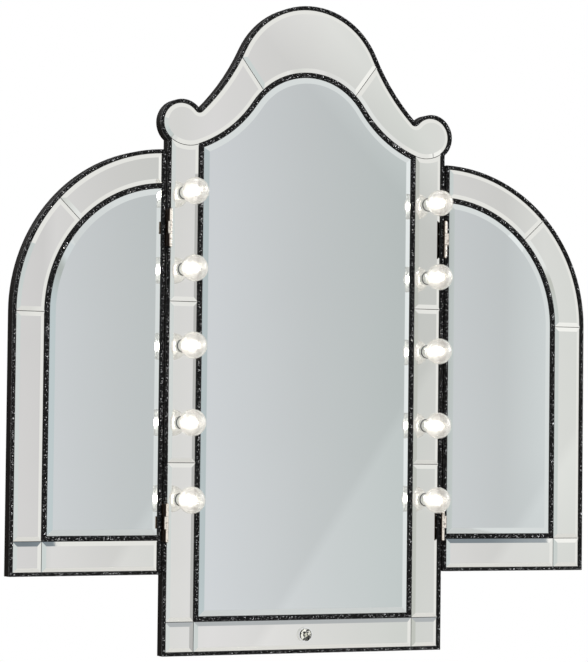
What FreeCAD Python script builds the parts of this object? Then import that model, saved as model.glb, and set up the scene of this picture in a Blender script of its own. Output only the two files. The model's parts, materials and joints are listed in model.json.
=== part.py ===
"""Tri-fold lighted vanity mirror: a crowned centre panel with two arched wings on butt hinges.

Millimetres. X runs to the right seen from the front, Z up, and the front faces -Y.
Heights below are measured from the foot of the centre panel and depths from the flange faces
of the threaded inserts in its back. The finished pieces are then moved down so that the
origin lies at the centre of the insert pattern.
"""

import math
import os

import FreeCAD
import Part

# Centre panel outline, at the outer edge of its black bead
panel_half_width = 230.5
panel_apex_height = 974.8
crown_radius = 122.9
crown_sweep_radius = 325.5
ear_radius = 34.9
ear_inset = 22.5
ear_drop = 187.8
notch_fillet = 1.5
notch_angle = 140.0

# Centre mirror outline, at the outer edge of the bead round it
arch_drop = 101.1
arch_radius = 112.8
arch_sweep_radius = 181.2
arch_shoulder_drop = 217.7

# Border of bevelled mirror tiles and black beads
tile_width = 44.5
outer_bead_width = 5.5
inner_bead_width = 7.4
tile_joint = 0.9
tile_bevel_width = 6.5
tile_bevel_depth = 1.3
mirror_bevel_width = 9.0
mirror_bevel_depth = 1.35
bead_crest = 2.0
# Cross-section of a bead's crest: how far each side draws in, and how high, at each step
bead_draw_shares = (0.0, 0.10, 0.32)
bead_rise_shares = (0.0, 0.55, 1.0)
# How far each stile joint lies from one lamp to the next, counted in lamps from the lowest
stile_joint_shares = (0.477, 2.58)
# The crown joint leaves the crest this far past the crown's round, turned from square to the crest
crown_joint_run = 13.5
crown_joint_turn = 25.4

# Depths of the layers
insert_flange_thickness = 1.2
cover_thickness = 3.0
board_thickness = 16.0
tile_thickness = 3.0
cover_inset = 9.0

# Wings
wing_width = 239.5
wing_foot_height = 120.0
wing_spring_drop = 286.5
wing_arch_radius = 245.0
wing_arch_joint_angle = 43.6
wing_rest_angle = 3.2

# Hinges
lower_hinge_rise = 76.0
upper_hinge_rise = 129.5
hinge_length = 55.0
leaf_thickness = 1.2
leaf_gap = 0.6
leaf_depth = 16.5
leaf_lap = 0.9
axis_stand_off = 8.2
knuckle_radius = 2.6
knuckle_count = 3
knuckle_end_gap = 0.35
pin_radius = 1.3
pin_clearance = 0.05
pin_head_radius = 2.3
pin_head_height = 1.6
hinge_screw_spacing = 32.0
hinge_screw_radius = 1.5
hinge_screw_length = 13.0
screw_head_radius = 2.9
screw_head_land = 0.2
screw_clearance = 0.02

# Lamps
bulb_count = 5
bulb_first_height = 230.0
bulb_last_drop = 104.2
bulb_stand_off = 39.0
globe_radius = 20.0
globe_wall = 0.8
neck_length = 7.4
neck_lap = 1.2
cap_flange_thickness = 2.0
cap_radius = 6.0
cap_tip_radius = 2.5
cap_tip_length = 1.5
emitter_stem_radius = 2.2
emitter_radius = 5.0
emitter_length = 14.0
emitter_round = 2.5
collar_gap = 0.8
collar_height = 11.5
collar_wall = 1.6
collar_chamfer = 1.2
socket_wall = 1.25
socket_floor = 1.6
socket_stand_off = 5.75
socket_clearance = 0.2
lamp_clearance = 0.25

# Wiring, in channels milled into the back of the board
channel_width = 5.0
channel_depth = 5.0
harness_radius = 1.5
harness_bend = 14.0
harness_tail = 4.0
wire_clearance = 0.1

# Low-voltage driver and its inlet
driver_length = 90.0
driver_height = 24.0
driver_thickness = 8.6
driver_foot_height = 66.0
driver_clearance = 0.4
driver_corner_radius = 2.15
harness_drop = 6.0
inlet_width = 11.0
inlet_height = 12.0
inlet_clearance = 0.2
inlet_bore_radius = 3.15
inlet_bore_depth = 9.0
inlet_pin_radius = 1.0
inlet_pin_length = 8.0

# Push button in the bottom rail
button_radius = 9.2
button_facets = 12
button_table_share = 0.55
button_back_share = 0.86
button_crown = 4.6
button_pavilion = 2.2
button_travel = 2.0
button_rest_gap = 0.4
stem_radius = 3.0
stem_clearance = 0.06
button_rim_gap = 0.6
bezel_flange = 1.4
bezel_rim_wall = 1.4
bezel_rim_height = 2.6
bushing_radius = 8.0
bushing_clearance = 0.1
nut_wall = 3.8
nut_sides = 6
nut_thickness = 2.6
nut_recess_depth = 7.2
nut_recess_clearance = 0.8
switch_wall = 1.8
switch_length = 4.4
stem_entry = 0.6
switch_well_clearance = 0.3
switch_lead_radius = 1.2

# Fixings in the back
insert_spacing_x = 300.0
insert_spacing_z = 150.0
insert_centre_height = 300.0
insert_bore_radius = 3.0
insert_radius = 4.5
insert_flange_radius = 8.0
insert_length = 12.0
cover_screw_inset = 42.5
cover_screw_height_shares = (0.035, 0.36, 0.55, 0.76)
cover_screw_top_share = 0.955
cover_screw_radius = 1.5
cover_screw_length = 10.0
cover_head_depth = 1.6

# One overrun serves every cut
overrun = 1.0
# Corners of an outline drawn in: steps to find each, and the sine below which it counts as smooth
corner_steps = 8
smooth_corner = 0.01

# Levels along Y, from the back to the front
y_flange = 0.0
y_cover_back = y_flange - insert_flange_thickness
y_board_back = y_cover_back - cover_thickness
y_board_front = y_board_back - board_thickness
y_tile_front = y_board_front - tile_thickness
y_crest = y_tile_front - bead_crest
y_channel = y_board_back - channel_depth
y_axis = y_tile_front - axis_stand_off

# Places worked out from the sizes above
border = outer_bead_width + tile_width
mirror_half_width = panel_half_width - border
tile_edge_x = panel_half_width - outer_bead_width
wing_edge_x = panel_half_width + 2 * leaf_thickness + leaf_gap
axis_x = panel_half_width - knuckle_radius + leaf_lap
ear_centre_height = panel_apex_height - ear_drop
wing_spring_height = ear_centre_height - wing_spring_drop
hinge_heights = (wing_foot_height + lower_hinge_rise, wing_spring_height + upper_hinge_rise)
hinge_head_depth = leaf_thickness - screw_head_land
bulb_x = (mirror_half_width + tile_edge_x) / 2
button_height = (outer_bead_width + border) / 2
bulb_spacing = (ear_centre_height - bulb_last_drop - bulb_first_height) / (bulb_count - 1)
bulb_heights = [bulb_first_height + bulb_spacing * i for i in range(bulb_count)]
stile_joint_heights = [bulb_first_height + bulb_spacing * share for share in stile_joint_shares]
neck_radius = cap_radius + neck_lap
neck_stand_off = bulb_stand_off - math.sqrt(globe_radius ** 2 - neck_radius ** 2) - neck_length
socket_radius = cap_radius + lamp_clearance + socket_wall
collar_radius = neck_radius + collar_gap + collar_wall
y_cap_end = y_channel - socket_floor - lamp_clearance - cap_tip_length
bezel_radius = button_radius + button_rim_gap + bezel_rim_wall
nut_radius = bushing_radius + nut_wall
switch_radius = bushing_radius - switch_wall
switch_well_depth = stem_entry + button_travel + button_rest_gap
cover_screw_x = panel_half_width - cover_screw_inset
knuckle_length = (hinge_length - (knuckle_count - 1) * knuckle_end_gap) / knuckle_count
harness_height = driver_foot_height + driver_height - harness_drop
inlet_x = driver_length / 2 + inlet_width / 2
inlet_z = driver_foot_height + inlet_height / 2
y_driver = y_board_back - driver_thickness - driver_clearance
y_hinge_screw = (y_board_back + y_board_front) / 2
y_bushing_end = y_board_back - nut_recess_depth + nut_thickness
y_switch_back = y_bushing_end + stem_clearance
y_switch_front = y_switch_back - switch_length
y_bezel_floor = y_tile_front - bezel_flange
y_button_back = y_bezel_floor - button_travel - button_rest_gap
y_stem_end = y_switch_front + switch_well_depth - button_travel - button_rest_gap
reach = 2 * panel_apex_height


def vec(x, z, y=0.0):
    return FreeCAD.Vector(x, y, z)


def line(p, q):
    return Part.LineSegment(vec(*p), vec(*q)).toShape()


def on_circle(centre, radius, angle):
    """Point of a circle, the angle in radians from +X towards +Z."""
    return (centre[0] + radius * math.cos(angle), centre[1] + radius * math.sin(angle))


def arc(centre, radius, start, end):
    """Arc about centre between two angles."""
    angles = (start, (start + end) / 2, end)
    return Part.Arc(*[vec(*on_circle(centre, radius, angle)) for angle in angles]).toShape()


def angle_to(centre, point):
    return math.atan2(point[1] - centre[1], point[0] - centre[0])


def arc_to(centre, start, end):
    """The shorter arc about centre from start to end."""
    a = angle_to(centre, start)
    b = angle_to(centre, end)
    turn = (b - a + math.pi) % (2 * math.pi) - math.pi
    return arc(centre, math.dist(centre, start), a, a + turn)


def towards(centre, target, distance):
    scale = distance / math.dist(centre, target)
    return (centre[0] + (target[0] - centre[0]) * scale, centre[1] + (target[1] - centre[1]) * scale)


def circles_meet(c1, r1, c2, r2):
    """The two points where two circles meet, that on the left of c1 to c2 first."""
    span = math.dist(c1, c2)
    along = (span * span + r1 * r1 - r2 * r2) / (2 * span)
    half = math.sqrt(r1 * r1 - along * along)
    ux = (c2[0] - c1[0]) / span
    uz = (c2[1] - c1[1]) / span
    foot = (c1[0] + along * ux, c1[1] + along * uz)
    return (foot[0] - half * uz, foot[1] + half * ux), (foot[0] + half * uz, foot[1] - half * ux)


def below_on_circle(centre, radius, x):
    return (x, centre[1] - math.sqrt(radius * radius - (x - centre[0]) ** 2))


def mirrored(shape):
    return shape.mirror(vec(0, 0), vec(1, 0))


def wire(edges):
    return Part.Wire(Part.__sortEdges__(edges))


def at_depth(shape, y):
    copy = shape.copy()
    copy.translate(FreeCAD.Vector(0, y, 0))
    return copy


def slab(outline, y_from, y_to):
    """Solid between two depths over a closed outline."""
    return Part.Face(at_depth(outline, y_from)).extrude(FreeCAD.Vector(0, y_to - y_from, 0))


def stack(levels):
    """Solid through a stack of like outlines, each given with its depth."""
    return Part.makeLoft([at_depth(outline, y) for outline, y in levels], True, True)


def block(x0, x1, y0, y1, z0, z1):
    corner = vec(min(x0, x1), min(z0, z1), min(y0, y1))
    return Part.makeBox(abs(x1 - x0), abs(y1 - y0), abs(z1 - z0), corner)


def rod(radius, x, z, y0, y1):
    """Round bar along Y between two depths."""
    return Part.makeCylinder(radius, abs(y1 - y0), vec(x, z, min(y0, y1)), FreeCAD.Vector(0, 1, 0))


def ring(outer, inner, x, z, y0, y1):
    return rod(outer, x, z, y0, y1).cut(rod(inner, x, z, min(y0, y1) - overrun, max(y0, y1) + overrun))


def rectangle(x0, x1, z0, z1):
    corners = [(x0, z0), (x1, z0), (x1, z1), (x0, z1)]
    return wire([line(corners[i], corners[(i + 1) % len(corners)]) for i in range(len(corners))])


def half_plane(point, along, side):
    """Large face with one edge on the line through point; side is the direction it lies in."""
    near = [(point[0] + along[0] * reach * k, point[1] + along[1] * reach * k) for k in (-1, 1)]
    far = [(p[0] + side[0] * reach, p[1] + side[1] * reach) for p in (near[1], near[0])]
    points = [vec(*p) for p in near + far]
    return Part.Face(Part.makePolygon(points + points[:1]))


def kept(face, point, along, side):
    """What of a tile's face lies on one side of a joint, half a joint's width back from it."""
    shifted = (point[0] + side[0] * tile_joint / 2, point[1] + side[1] * tile_joint / 2)
    return face.common(half_plane(shifted, along, side)).Faces[0]


def inward_runs(outline):
    """Each edge of a closed outline as (start, middle, centre or None, sign of the inward side)."""
    edges = outline.OrderedEdges
    starts = [(v.X, v.Z) for v in outline.OrderedVertexes]
    middles = [e.valueAt((e.FirstParameter + e.LastParameter) / 2) for e in edges]
    ring_points = []
    for start, middle in zip(starts, middles):
        ring_points += [start, (middle.x, middle.z)]
    area = sum(p[0] * q[1] - q[0] * p[1] for p, q in zip(ring_points, ring_points[1:] + ring_points[:1]))
    turn = math.copysign(1, area)
    runs = []
    for i, e in enumerate(edges):
        p = starts[i]
        q = starts[(i + 1) % len(starts)]
        span = math.dist(p, q)
        normal = (-turn * (q[1] - p[1]) / span, turn * (q[0] - p[0]) / span)
        middle = (middles[i].x, middles[i].z)
        if e.Curve.TypeId == "Part::GeomLine":
            runs.append((middle, normal, None, 0))
            continue
        centre = (e.Curve.Center.x, e.Curve.Center.z)
        facing = (centre[0] - middle[0]) * normal[0] + (centre[1] - middle[1]) * normal[1]
        runs.append((middle, normal, centre, math.copysign(1, facing)))
    return starts, runs


def normal_at(run, point):
    """Inward unit normal of one edge at a point on it."""
    middle, normal, centre, side = run
    if centre is None:
        return normal
    radius = math.dist(centre, point)
    return (side * (centre[0] - point[0]) / radius, side * (centre[1] - point[1]) / radius)


def drawn_corner(before, after, corner, distance):
    """Where two neighbouring edges meet once both are drawn in."""
    n1 = normal_at(before, corner)
    n2 = normal_at(after, corner)
    share = distance / (1 + n1[0] * n2[0] + n1[1] * n2[1])
    x = corner[0] + share * (n1[0] + n2[0])
    z = corner[1] + share * (n1[1] + n2[1])
    for _ in range(corner_steps):
        n1 = normal_at(before, (x, z))
        n2 = normal_at(after, (x, z))
        cross = n1[0] * n2[1] - n1[1] * n2[0]
        if abs(cross) < smooth_corner:
            break
        miss1 = drawn_miss(before, (x, z), distance)
        miss2 = drawn_miss(after, (x, z), distance)
        x += (miss1 * n2[1] - miss2 * n1[1]) / cross
        z += (miss2 * n1[0] - miss1 * n2[0]) / cross
    return x, z


def drawn_miss(run, point, distance):
    """How far a point still is from one edge drawn in by a distance, along its normal."""
    middle, normal, centre, side = run
    if centre is None:
        return distance - (point[0] - middle[0]) * normal[0] - (point[1] - middle[1]) * normal[1]
    return distance - side * (math.dist(centre, middle) - math.dist(centre, point))


def drawn_in(outline, distance):
    """Closed outline of lines and arcs drawn in by one distance, corner for corner."""
    starts, runs = inward_runs(outline)
    corners = [drawn_corner(runs[i - 1], runs[i], starts[i], distance) for i in range(len(runs))]
    edges = []
    for i, (middle, normal, centre, side) in enumerate(runs):
        p = corners[i]
        q = corners[(i + 1) % len(corners)]
        if centre is None:
            edges.append(line(p, q))
            continue
        via = towards(centre, middle, math.dist(centre, middle) - side * distance)
        edges.append(Part.Arc(vec(*p), vec(*via), vec(*q)).toShape())
    return Part.Wire(edges)


def bevelled(face, bevel_width, bevel_depth, holes=()):
    """Glass plate on the board with a ground bevel round its front, bored where lamps stand."""
    edge = Part.Wire(face.OuterWire.OrderedEdges)
    front = drawn_in(face.OuterWire, bevel_width)
    y_shoulder = y_tile_front + bevel_depth
    plate = stack([(edge, y_board_front), (edge, y_shoulder), (front, y_tile_front)])
    for radius, x, z in holes:
        plate = plate.cut(rod(radius, x, z, y_board_front + overrun, y_tile_front - overrun))
    return plate


# Curves of the centre panel
crown_centre = (0.0, panel_apex_height - crown_radius)
ear_centre = (panel_half_width - ear_inset, ear_centre_height)
notch_centre = on_circle(ear_centre, ear_radius + notch_fillet, math.radians(notch_angle))
sweep_span = crown_radius + crown_sweep_radius
sweep_centre = circles_meet(crown_centre, sweep_span, notch_centre, crown_sweep_radius - notch_fillet)[0]

# Curves of the arch over the centre mirror
arch_apex_height = panel_apex_height - arch_drop
arch_centre = (0.0, arch_apex_height - arch_radius)
arch_foot = (mirror_half_width, panel_apex_height - arch_shoulder_drop)
arch_span = arch_radius + arch_sweep_radius
arch_sweep_centre = circles_meet(arch_centre, arch_span, arch_foot, arch_sweep_radius)[0]


def neck_point(inset):
    """Where the ear meets the straight side of the panel."""
    return below_on_circle(ear_centre, ear_radius - inset, panel_half_width - inset)


def crest_edges(inset):
    """Right half of the crown, from the neck over the ear to the apex."""
    ear = ear_radius - inset
    neck = neck_point(inset)
    on_ear = towards(ear_centre, notch_centre, ear)
    on_sweep = towards(sweep_centre, notch_centre, crown_sweep_radius + inset)
    turn = towards(crown_centre, sweep_centre, crown_radius - inset)
    apex = (0.0, panel_apex_height - inset)
    return [
        arc(ear_centre, ear, angle_to(ear_centre, neck), angle_to(ear_centre, on_ear)),
        arc_to(notch_centre, on_ear, on_sweep),
        arc_to(sweep_centre, on_sweep, turn),
        arc_to(crown_centre, turn, apex),
    ]


def panel_outline(inset):
    """Whole outline of the centre panel, drawn in by inset."""
    side = panel_half_width - inset
    foot = (side, inset)
    half = crest_edges(inset) + [line(foot, neck_point(inset))]
    return wire(half + [mirrored(e) for e in half] + [line((-side, inset), foot)])


def arch_shoulder(inset):
    """Where the arch's sweep meets the straight side of the mirror."""
    return below_on_circle(arch_sweep_centre, arch_sweep_radius + inset, mirror_half_width - inset)


def arch_edges(inset):
    """Right half of the arch, from its shoulder to the apex."""
    turn = towards(arch_centre, arch_sweep_centre, arch_radius - inset)
    apex = (0.0, arch_apex_height - inset)
    return [
        arc_to(arch_sweep_centre, arch_shoulder(inset), turn),
        arc_to(arch_centre, turn, apex),
    ]


def mirror_outline(inset):
    """Outline of the centre mirror, drawn in by inset from the outer edge of its bead."""
    side = mirror_half_width - inset
    foot = (side, border + inset)
    half = arch_edges(inset) + [line(foot, arch_shoulder(inset))]
    return wire(half + [mirrored(e) for e in half] + [line((-side, border + inset), foot)])


def ear_seam(gap):
    """Seam under the ear: it leaves the ear's circle smoothly and runs in to the arch's shoulder."""
    neck = neck_point(outer_bead_width)
    shoulder = arch_shoulder(0)
    dx = shoulder[0] - neck[0]
    dz = shoulder[1] - neck[1]
    ear = ear_radius - outer_bead_width
    ux = (ear_centre[0] - neck[0]) / ear
    uz = (ear_centre[1] - neck[1]) / ear
    radius = (dx * dx + dz * dz) / (2 * (dx * ux + dz * uz))
    centre = (neck[0] + radius * ux, neck[1] + radius * uz)
    start = below_on_circle(centre, radius + gap, neck[0])
    end = below_on_circle(centre, radius + gap, shoulder[0])
    return start, end, arc_to(centre, start, end)


def crest_face():
    """Face of the crown and both shoulders, before it is parted into tiles."""
    half = crest_edges(outer_bead_width) + [ear_seam(0)[2]] + arch_edges(0)
    return Part.Face(wire(half + [mirrored(e) for e in half]))


def crown_joint(face, side, outward):
    """Part of the crest on the outer or inner side of the crown joint of one side."""
    radius = crown_sweep_radius + outer_bead_width
    square = angle_to(sweep_centre, crown_centre) + crown_joint_run / radius
    end = on_circle(sweep_centre, radius, square)
    lean = square + math.radians(crown_joint_turn)
    along = (side * math.cos(lean), math.sin(lean))
    across = (-side * math.sin(lean) * outward, math.cos(lean) * outward)
    return kept(face, (side * end[0], end[1]), along, across)


def wing_centre():
    return (wing_edge_x + wing_width - wing_arch_radius, wing_spring_height)


def above_on_arch(radius, x):
    centre = wing_centre()
    return (x, centre[1] + math.sqrt(radius * radius - (x - centre[0]) ** 2))


def wing_shape(hinge_side, inset):
    """Outline of a wing from its hinge side, drawn in by inset along foot, side and arch."""
    radius = wing_arch_radius - inset
    side = wing_edge_x + wing_width - inset
    foot = wing_foot_height + inset
    top = above_on_arch(radius, hinge_side)
    corners = [top, (hinge_side, foot), (side, foot), (side, wing_spring_height)]
    edges = [line(corners[i], corners[i + 1]) for i in range(len(corners) - 1)]
    return wire(edges + [arc_to(wing_centre(), corners[-1], top)])


def wing_outline(inset):
    return wing_shape(wing_edge_x + inset, inset)


def wing_mirror_outline(inset):
    return wing_shape(wing_edge_x + outer_bead_width, border + inset)


def bead(outline, width):
    """Black bead of one width, flat on the board with a crest that draws in on both sides."""
    outside = [(outline(0), y_board_front)]
    inside = [(outline(width), y_board_front + overrun)]
    for draw, rise in zip(bead_draw_shares, bead_rise_shares):
        outside.append((outline(draw * width), y_tile_front - rise * bead_crest))
        inside.append((outline(width - draw * width), y_tile_front - rise * bead_crest))
    inside.append((inside[-1][0], y_crest - overrun))
    return stack(outside).cut(stack(inside))


def wing_bead():
    """Bead round a wing's mirror, open at the hinge side where it ends at the outer bead."""
    hinge_side = wing_edge_x + outer_bead_width
    outside = [(wing_shape(hinge_side, border), y_board_front)]
    inside = [(wing_shape(hinge_side - overrun, border + inner_bead_width), y_board_front + overrun)]
    for draw, rise in zip(bead_draw_shares, bead_rise_shares):
        y = y_tile_front - rise * bead_crest
        drawn = draw * inner_bead_width
        outside.append((wing_shape(hinge_side, border + drawn), y))
        inside.append((wing_shape(hinge_side - overrun, border + inner_bead_width - drawn), y))
    inside.append((inside[-1][0], y_crest - overrun))
    return stack(outside).cut(stack(inside))


def lamp_sites():
    return [(side * bulb_x, z) for side in (-1, 1) for z in bulb_heights]


def insert_sites():
    z_sites = [insert_centre_height + k * insert_spacing_z / 2 for k in (-1, 1)]
    return [(k * insert_spacing_x / 2, z) for k in (-1, 1) for z in z_sites]


def cover_screw_sites():
    heights = [share * panel_apex_height for share in cover_screw_height_shares]
    sites = [(k * cover_screw_x, z) for k in (-1, 1) for z in heights]
    return sites + [(0.0, cover_screw_top_share * panel_apex_height)]


def hinge_screw_sites():
    """Heights of the screws of one side's hinges."""
    return [z + k * hinge_screw_spacing / 2 for z in hinge_heights for k in (-1, 1)]


def lamp_channels(side, through):
    """Cuts for one side's lamp cable: up the stile, across to the driver, and the bend between."""
    half = channel_width / 2
    top = bulb_heights[-1] + harness_tail + wire_clearance
    low = harness_height - half
    high = harness_height + half
    bend_x = side * (bulb_x - harness_bend)
    bend_z = harness_height + harness_bend
    rise = block(side * bulb_x - half, side * bulb_x + half, through[0], y_channel, low, top)
    run = block(0, side * (bulb_x + half), through[0], y_channel, low, high)
    bend = block(bend_x, side * (bulb_x - half), through[0], y_channel, high, bend_z)
    return [rise, run, bend.cut(rod(harness_bend - half, bend_x, bend_z, *through))]


def driver_pocket(y_open):
    """Pocket for the driver and the inlet beside it."""
    left = -driver_length / 2 - driver_clearance
    right = driver_length / 2 + inlet_width + driver_clearance
    low = driver_foot_height - driver_clearance
    high = driver_foot_height + driver_height + driver_clearance
    return block(left, right, y_open, y_driver, low, high)


def centre_board():
    """Board of the centre panel with its lamp bores, wiring channels and pockets in the back."""
    body = slab(panel_outline(0), y_board_back, y_board_front)
    through = (y_board_back + overrun, y_board_front - overrun)
    for x, z in lamp_sites():
        body = body.cut(rod(socket_radius + socket_clearance, x, z, *through))
    for side in (-1, 1):
        for cut in lamp_channels(side, through):
            body = body.cut(cut)
    half = channel_width / 2
    body = body.cut(block(-half, half, through[0], y_channel, button_height, driver_foot_height))
    body = body.cut(driver_pocket(through[0]))
    body = body.cut(rod(bushing_radius + bushing_clearance, 0, button_height, *through))
    recess = nut_radius + nut_recess_clearance
    body = body.cut(rod(recess, 0, button_height, through[0], y_board_back - nut_recess_depth))
    floor = y_flange - insert_length - screw_clearance
    for x, z in insert_sites():
        body = body.cut(rod(insert_radius + screw_clearance, x, z, through[0], floor))
    floor = y_cover_back - cover_screw_length - screw_clearance
    for x, z in cover_screw_sites():
        body = body.cut(rod(cover_screw_radius + screw_clearance, x, z, through[0], floor))
    for z in hinge_screw_sites():
        for side in (-1, 1):
            hole = side_screw_hole(panel_half_width, -1, z)
            body = body.cut(hole if side > 0 else mirrored(hole))
    return body


def side_screw_hole(x, inward, z):
    """Hole for a hinge screw in the edge of a board at x."""
    start = vec(x - inward * overrun, z, y_hinge_screw)
    radius = hinge_screw_radius + screw_clearance
    return Part.makeCylinder(radius, hinge_screw_length + overrun, start, FreeCAD.Vector(inward, 0, 0))


def back_cover():
    """Thin board over the wiring, inset from the panel's edge."""
    body = slab(panel_outline(cover_inset), y_cover_back, y_board_back)
    through = (y_cover_back + overrun, y_board_back - overrun)
    for x, z in insert_sites():
        body = body.cut(rod(insert_radius + screw_clearance, x, z, *through))
    for x, z in cover_screw_sites():
        body = body.cut(countersink(x, z))
    half_width = inlet_width / 2 + inlet_clearance
    half_height = inlet_height / 2 + inlet_clearance
    return body.cut(block(inlet_x - half_width, inlet_x + half_width, *through,
                          inlet_z - half_height, inlet_z + half_height))


def countersink(x, z):
    """Clearance for a countersunk screw driven in from the back of the cover."""
    shank_radius = cover_screw_radius + screw_clearance
    shank = rod(shank_radius, x, z, y_cover_back + overrun, y_board_back - overrun)
    inwards = FreeCAD.Vector(0, -1, 0)
    head_radius = screw_head_radius + screw_clearance
    head = Part.makeCone(head_radius, shank_radius, cover_head_depth, vec(x, z, y_cover_back), inwards)
    return shank.fuse(head)


def screw(radius, length, head_depth, tip, direction):
    """Countersunk screw whose head face lies at tip and whose shank runs along direction."""
    head = Part.makeCone(screw_head_radius, radius, head_depth, tip, direction)
    shank = Part.makeCylinder(radius, length, tip, direction)
    return head.fuse(shank).removeSplitter()


def cover_screws():
    inwards = FreeCAD.Vector(0, -1, 0)
    sizes = (cover_screw_radius, cover_screw_length, cover_head_depth)
    tips = [vec(x, z, y_cover_back) for x, z in cover_screw_sites()]
    return Part.makeCompound([screw(*sizes, tip, inwards) for tip in tips])


def threaded_inserts():
    """Flanged inserts that take the bolts of a support; their threads are plain bores."""
    pieces = []
    for x, z in insert_sites():
        body = rod(insert_radius, x, z, y_flange, y_flange - insert_length)
        body = body.fuse(rod(insert_flange_radius, x, z, y_flange, y_cover_back))
        floor = y_flange - insert_length + insert_flange_thickness
        pieces.append(body.cut(rod(insert_bore_radius, x, z, y_flange + overrun, floor)))
    return Part.makeCompound(pieces)


def stile_tile_face(lower, upper):
    """Face of one stile tile; the top one is hollowed to the seam under the ear."""
    if upper is not None:
        return Part.Face(rectangle(mirror_half_width, tile_edge_x, lower, upper))
    start, end, seam = ear_seam(tile_joint)
    foot = (start[0], lower)
    inner_foot = (end[0], lower)
    return Part.Face(wire([line(start, foot), line(foot, inner_foot), line(inner_foot, end), seam]))


def stile_tiles():
    """Three tiles up one stile, bored where lamps stand."""
    half = tile_joint / 2
    low, high = stile_joint_heights
    spans = {
        "lower": (border + half, low - half),
        "middle": (low + half, high - half),
        "upper": (high + half, None),
    }
    tiles = {}
    for name, (lower, upper) in spans.items():
        ceiling = panel_apex_height if upper is None else upper
        holes = [(socket_radius + socket_clearance, bulb_x, z) for z in bulb_heights if lower < z < ceiling]
        tiles[name] = bevelled(stile_tile_face(lower, upper), tile_bevel_width, tile_bevel_depth, holes)
    return tiles


def border_tiles():
    """All tiles of the centre panel's border."""
    half = tile_joint / 2
    crest = crest_face()
    crown = crown_joint(crown_joint(crest, 1, -1), -1, -1)
    tiles = {"crown_tile": bevelled(crown, tile_bevel_width, tile_bevel_depth)}
    shoulder = bevelled(crown_joint(crest, 1, 1), tile_bevel_width, tile_bevel_depth)
    right = {"shoulder_tile": shoulder}
    for name, tile in stile_tiles().items():
        right[name + "_stile_tile"] = tile
    corner = Part.Face(rectangle(mirror_half_width + half, tile_edge_x, outer_bead_width, border - half))
    right["corner_tile"] = bevelled(corner, tile_bevel_width, tile_bevel_depth)
    for name, tile in right.items():
        tiles["right_" + name] = tile
        tiles["left_" + name] = mirrored(tile)
    rail_end = mirror_half_width - half
    rail = Part.Face(rectangle(-rail_end, rail_end, outer_bead_width, border))
    hole = [(bushing_radius + bushing_clearance, 0.0, button_height)]
    tiles["bottom_rail_tile"] = bevelled(rail, tile_bevel_width, tile_bevel_depth, hole)
    return tiles


def revolved(points, x, z):
    """Solid turned about a lamp's axis from (radius, stand-off from the tile) points and arcs."""
    edges = []
    for start, via, end in points:
        a = FreeCAD.Vector(x + start[0], y_tile_front - start[1], z)
        b = FreeCAD.Vector(x + end[0], y_tile_front - end[1], z)
        if via is None:
            edges.append(Part.LineSegment(a, b).toShape())
        else:
            edges.append(Part.Arc(a, FreeCAD.Vector(x + via[0], y_tile_front - via[1], z), b).toShape())
    profile = Part.Face(Part.Wire(edges))
    return profile.revolve(FreeCAD.Vector(x, 0, z), FreeCAD.Vector(0, 1, 0))


def globe(x, z):
    """Clear round bulb of even wall with an open neck."""
    outer = globe_radius
    inner = globe_radius - globe_wall
    bore = neck_radius - globe_wall
    outer_root = neck_stand_off + neck_length
    inner_root = bulb_stand_off - math.sqrt(inner ** 2 - bore ** 2)
    return revolved([
        ((bore, neck_stand_off), None, (neck_radius, neck_stand_off)),
        ((neck_radius, neck_stand_off), None, (neck_radius, outer_root)),
        ((neck_radius, outer_root), (outer, bulb_stand_off), (0, bulb_stand_off + outer)),
        ((0, bulb_stand_off + outer), None, (0, bulb_stand_off + inner)),
        ((0, bulb_stand_off + inner), (inner, bulb_stand_off), (bore, inner_root)),
        ((bore, inner_root), None, (bore, neck_stand_off)),
    ], x, z)


def bulb_cap(x, z):
    """Screw cap under the neck, with its contact tip; the thread is a plain barrel."""
    y_neck = y_tile_front - neck_stand_off
    flange = rod(neck_radius, x, z, y_neck, y_neck + cap_flange_thickness)
    barrel = rod(cap_radius, x, z, y_neck + cap_flange_thickness, y_cap_end)
    tip = rod(cap_tip_radius, x, z, y_cap_end, y_cap_end + cap_tip_length)
    return flange.fuse([barrel, tip]).removeSplitter()


def emitter(x, z):
    """Light source on its stem in the middle of the globe."""
    y_root = y_tile_front - neck_stand_off
    y_low = y_tile_front - bulb_stand_off + emitter_length / 2
    stem = rod(emitter_stem_radius, x, z, y_root, y_low)
    body = rod(emitter_radius, x, z, y_low, y_low - emitter_length)
    body = body.makeFillet(emitter_round, [e for e in body.Edges if len(e.Vertexes) == 1])
    return stem.fuse(body)


def lamp_socket(x, z):
    """Insulating holder in the bore of tile and board."""
    y_front = y_tile_front - socket_stand_off
    body = rod(socket_radius, x, z, y_front, y_channel)
    body = body.cut(rod(cap_radius + lamp_clearance, x, z, y_front - overrun, y_cap_end + lamp_clearance))
    return body.cut(rod(cap_tip_radius + lamp_clearance, x, z, y_front - overrun, y_channel - socket_floor))


def socket_collar(x, z):
    """Plated collar round the holder, standing on the tile."""
    body = rod(collar_radius, x, z, y_tile_front, y_tile_front - collar_height)
    circles = [e for e in body.Edges if len(e.Vertexes) == 1]
    body = body.makeChamfer(collar_chamfer, [min(circles, key=lambda e: e.CenterOfMass.y)])
    bore = collar_radius - collar_wall
    body = body.cut(rod(bore, x, z, y_tile_front + overrun, y_tile_front - collar_height - overrun))
    lip = ring(collar_radius - collar_wall / 2, socket_radius + socket_clearance / 2, x, z,
               y_tile_front, y_tile_front - collar_wall)
    return body.fuse(lip).removeSplitter()


def lamps(make):
    return Part.makeCompound([make(x, z) for x, z in lamp_sites()])


def tube(radius, edges, start, direction):
    circle = Part.Wire(Part.makeCircle(radius, start, direction))
    return Part.Wire(edges).makePipeShell([circle], True, True)


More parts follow.
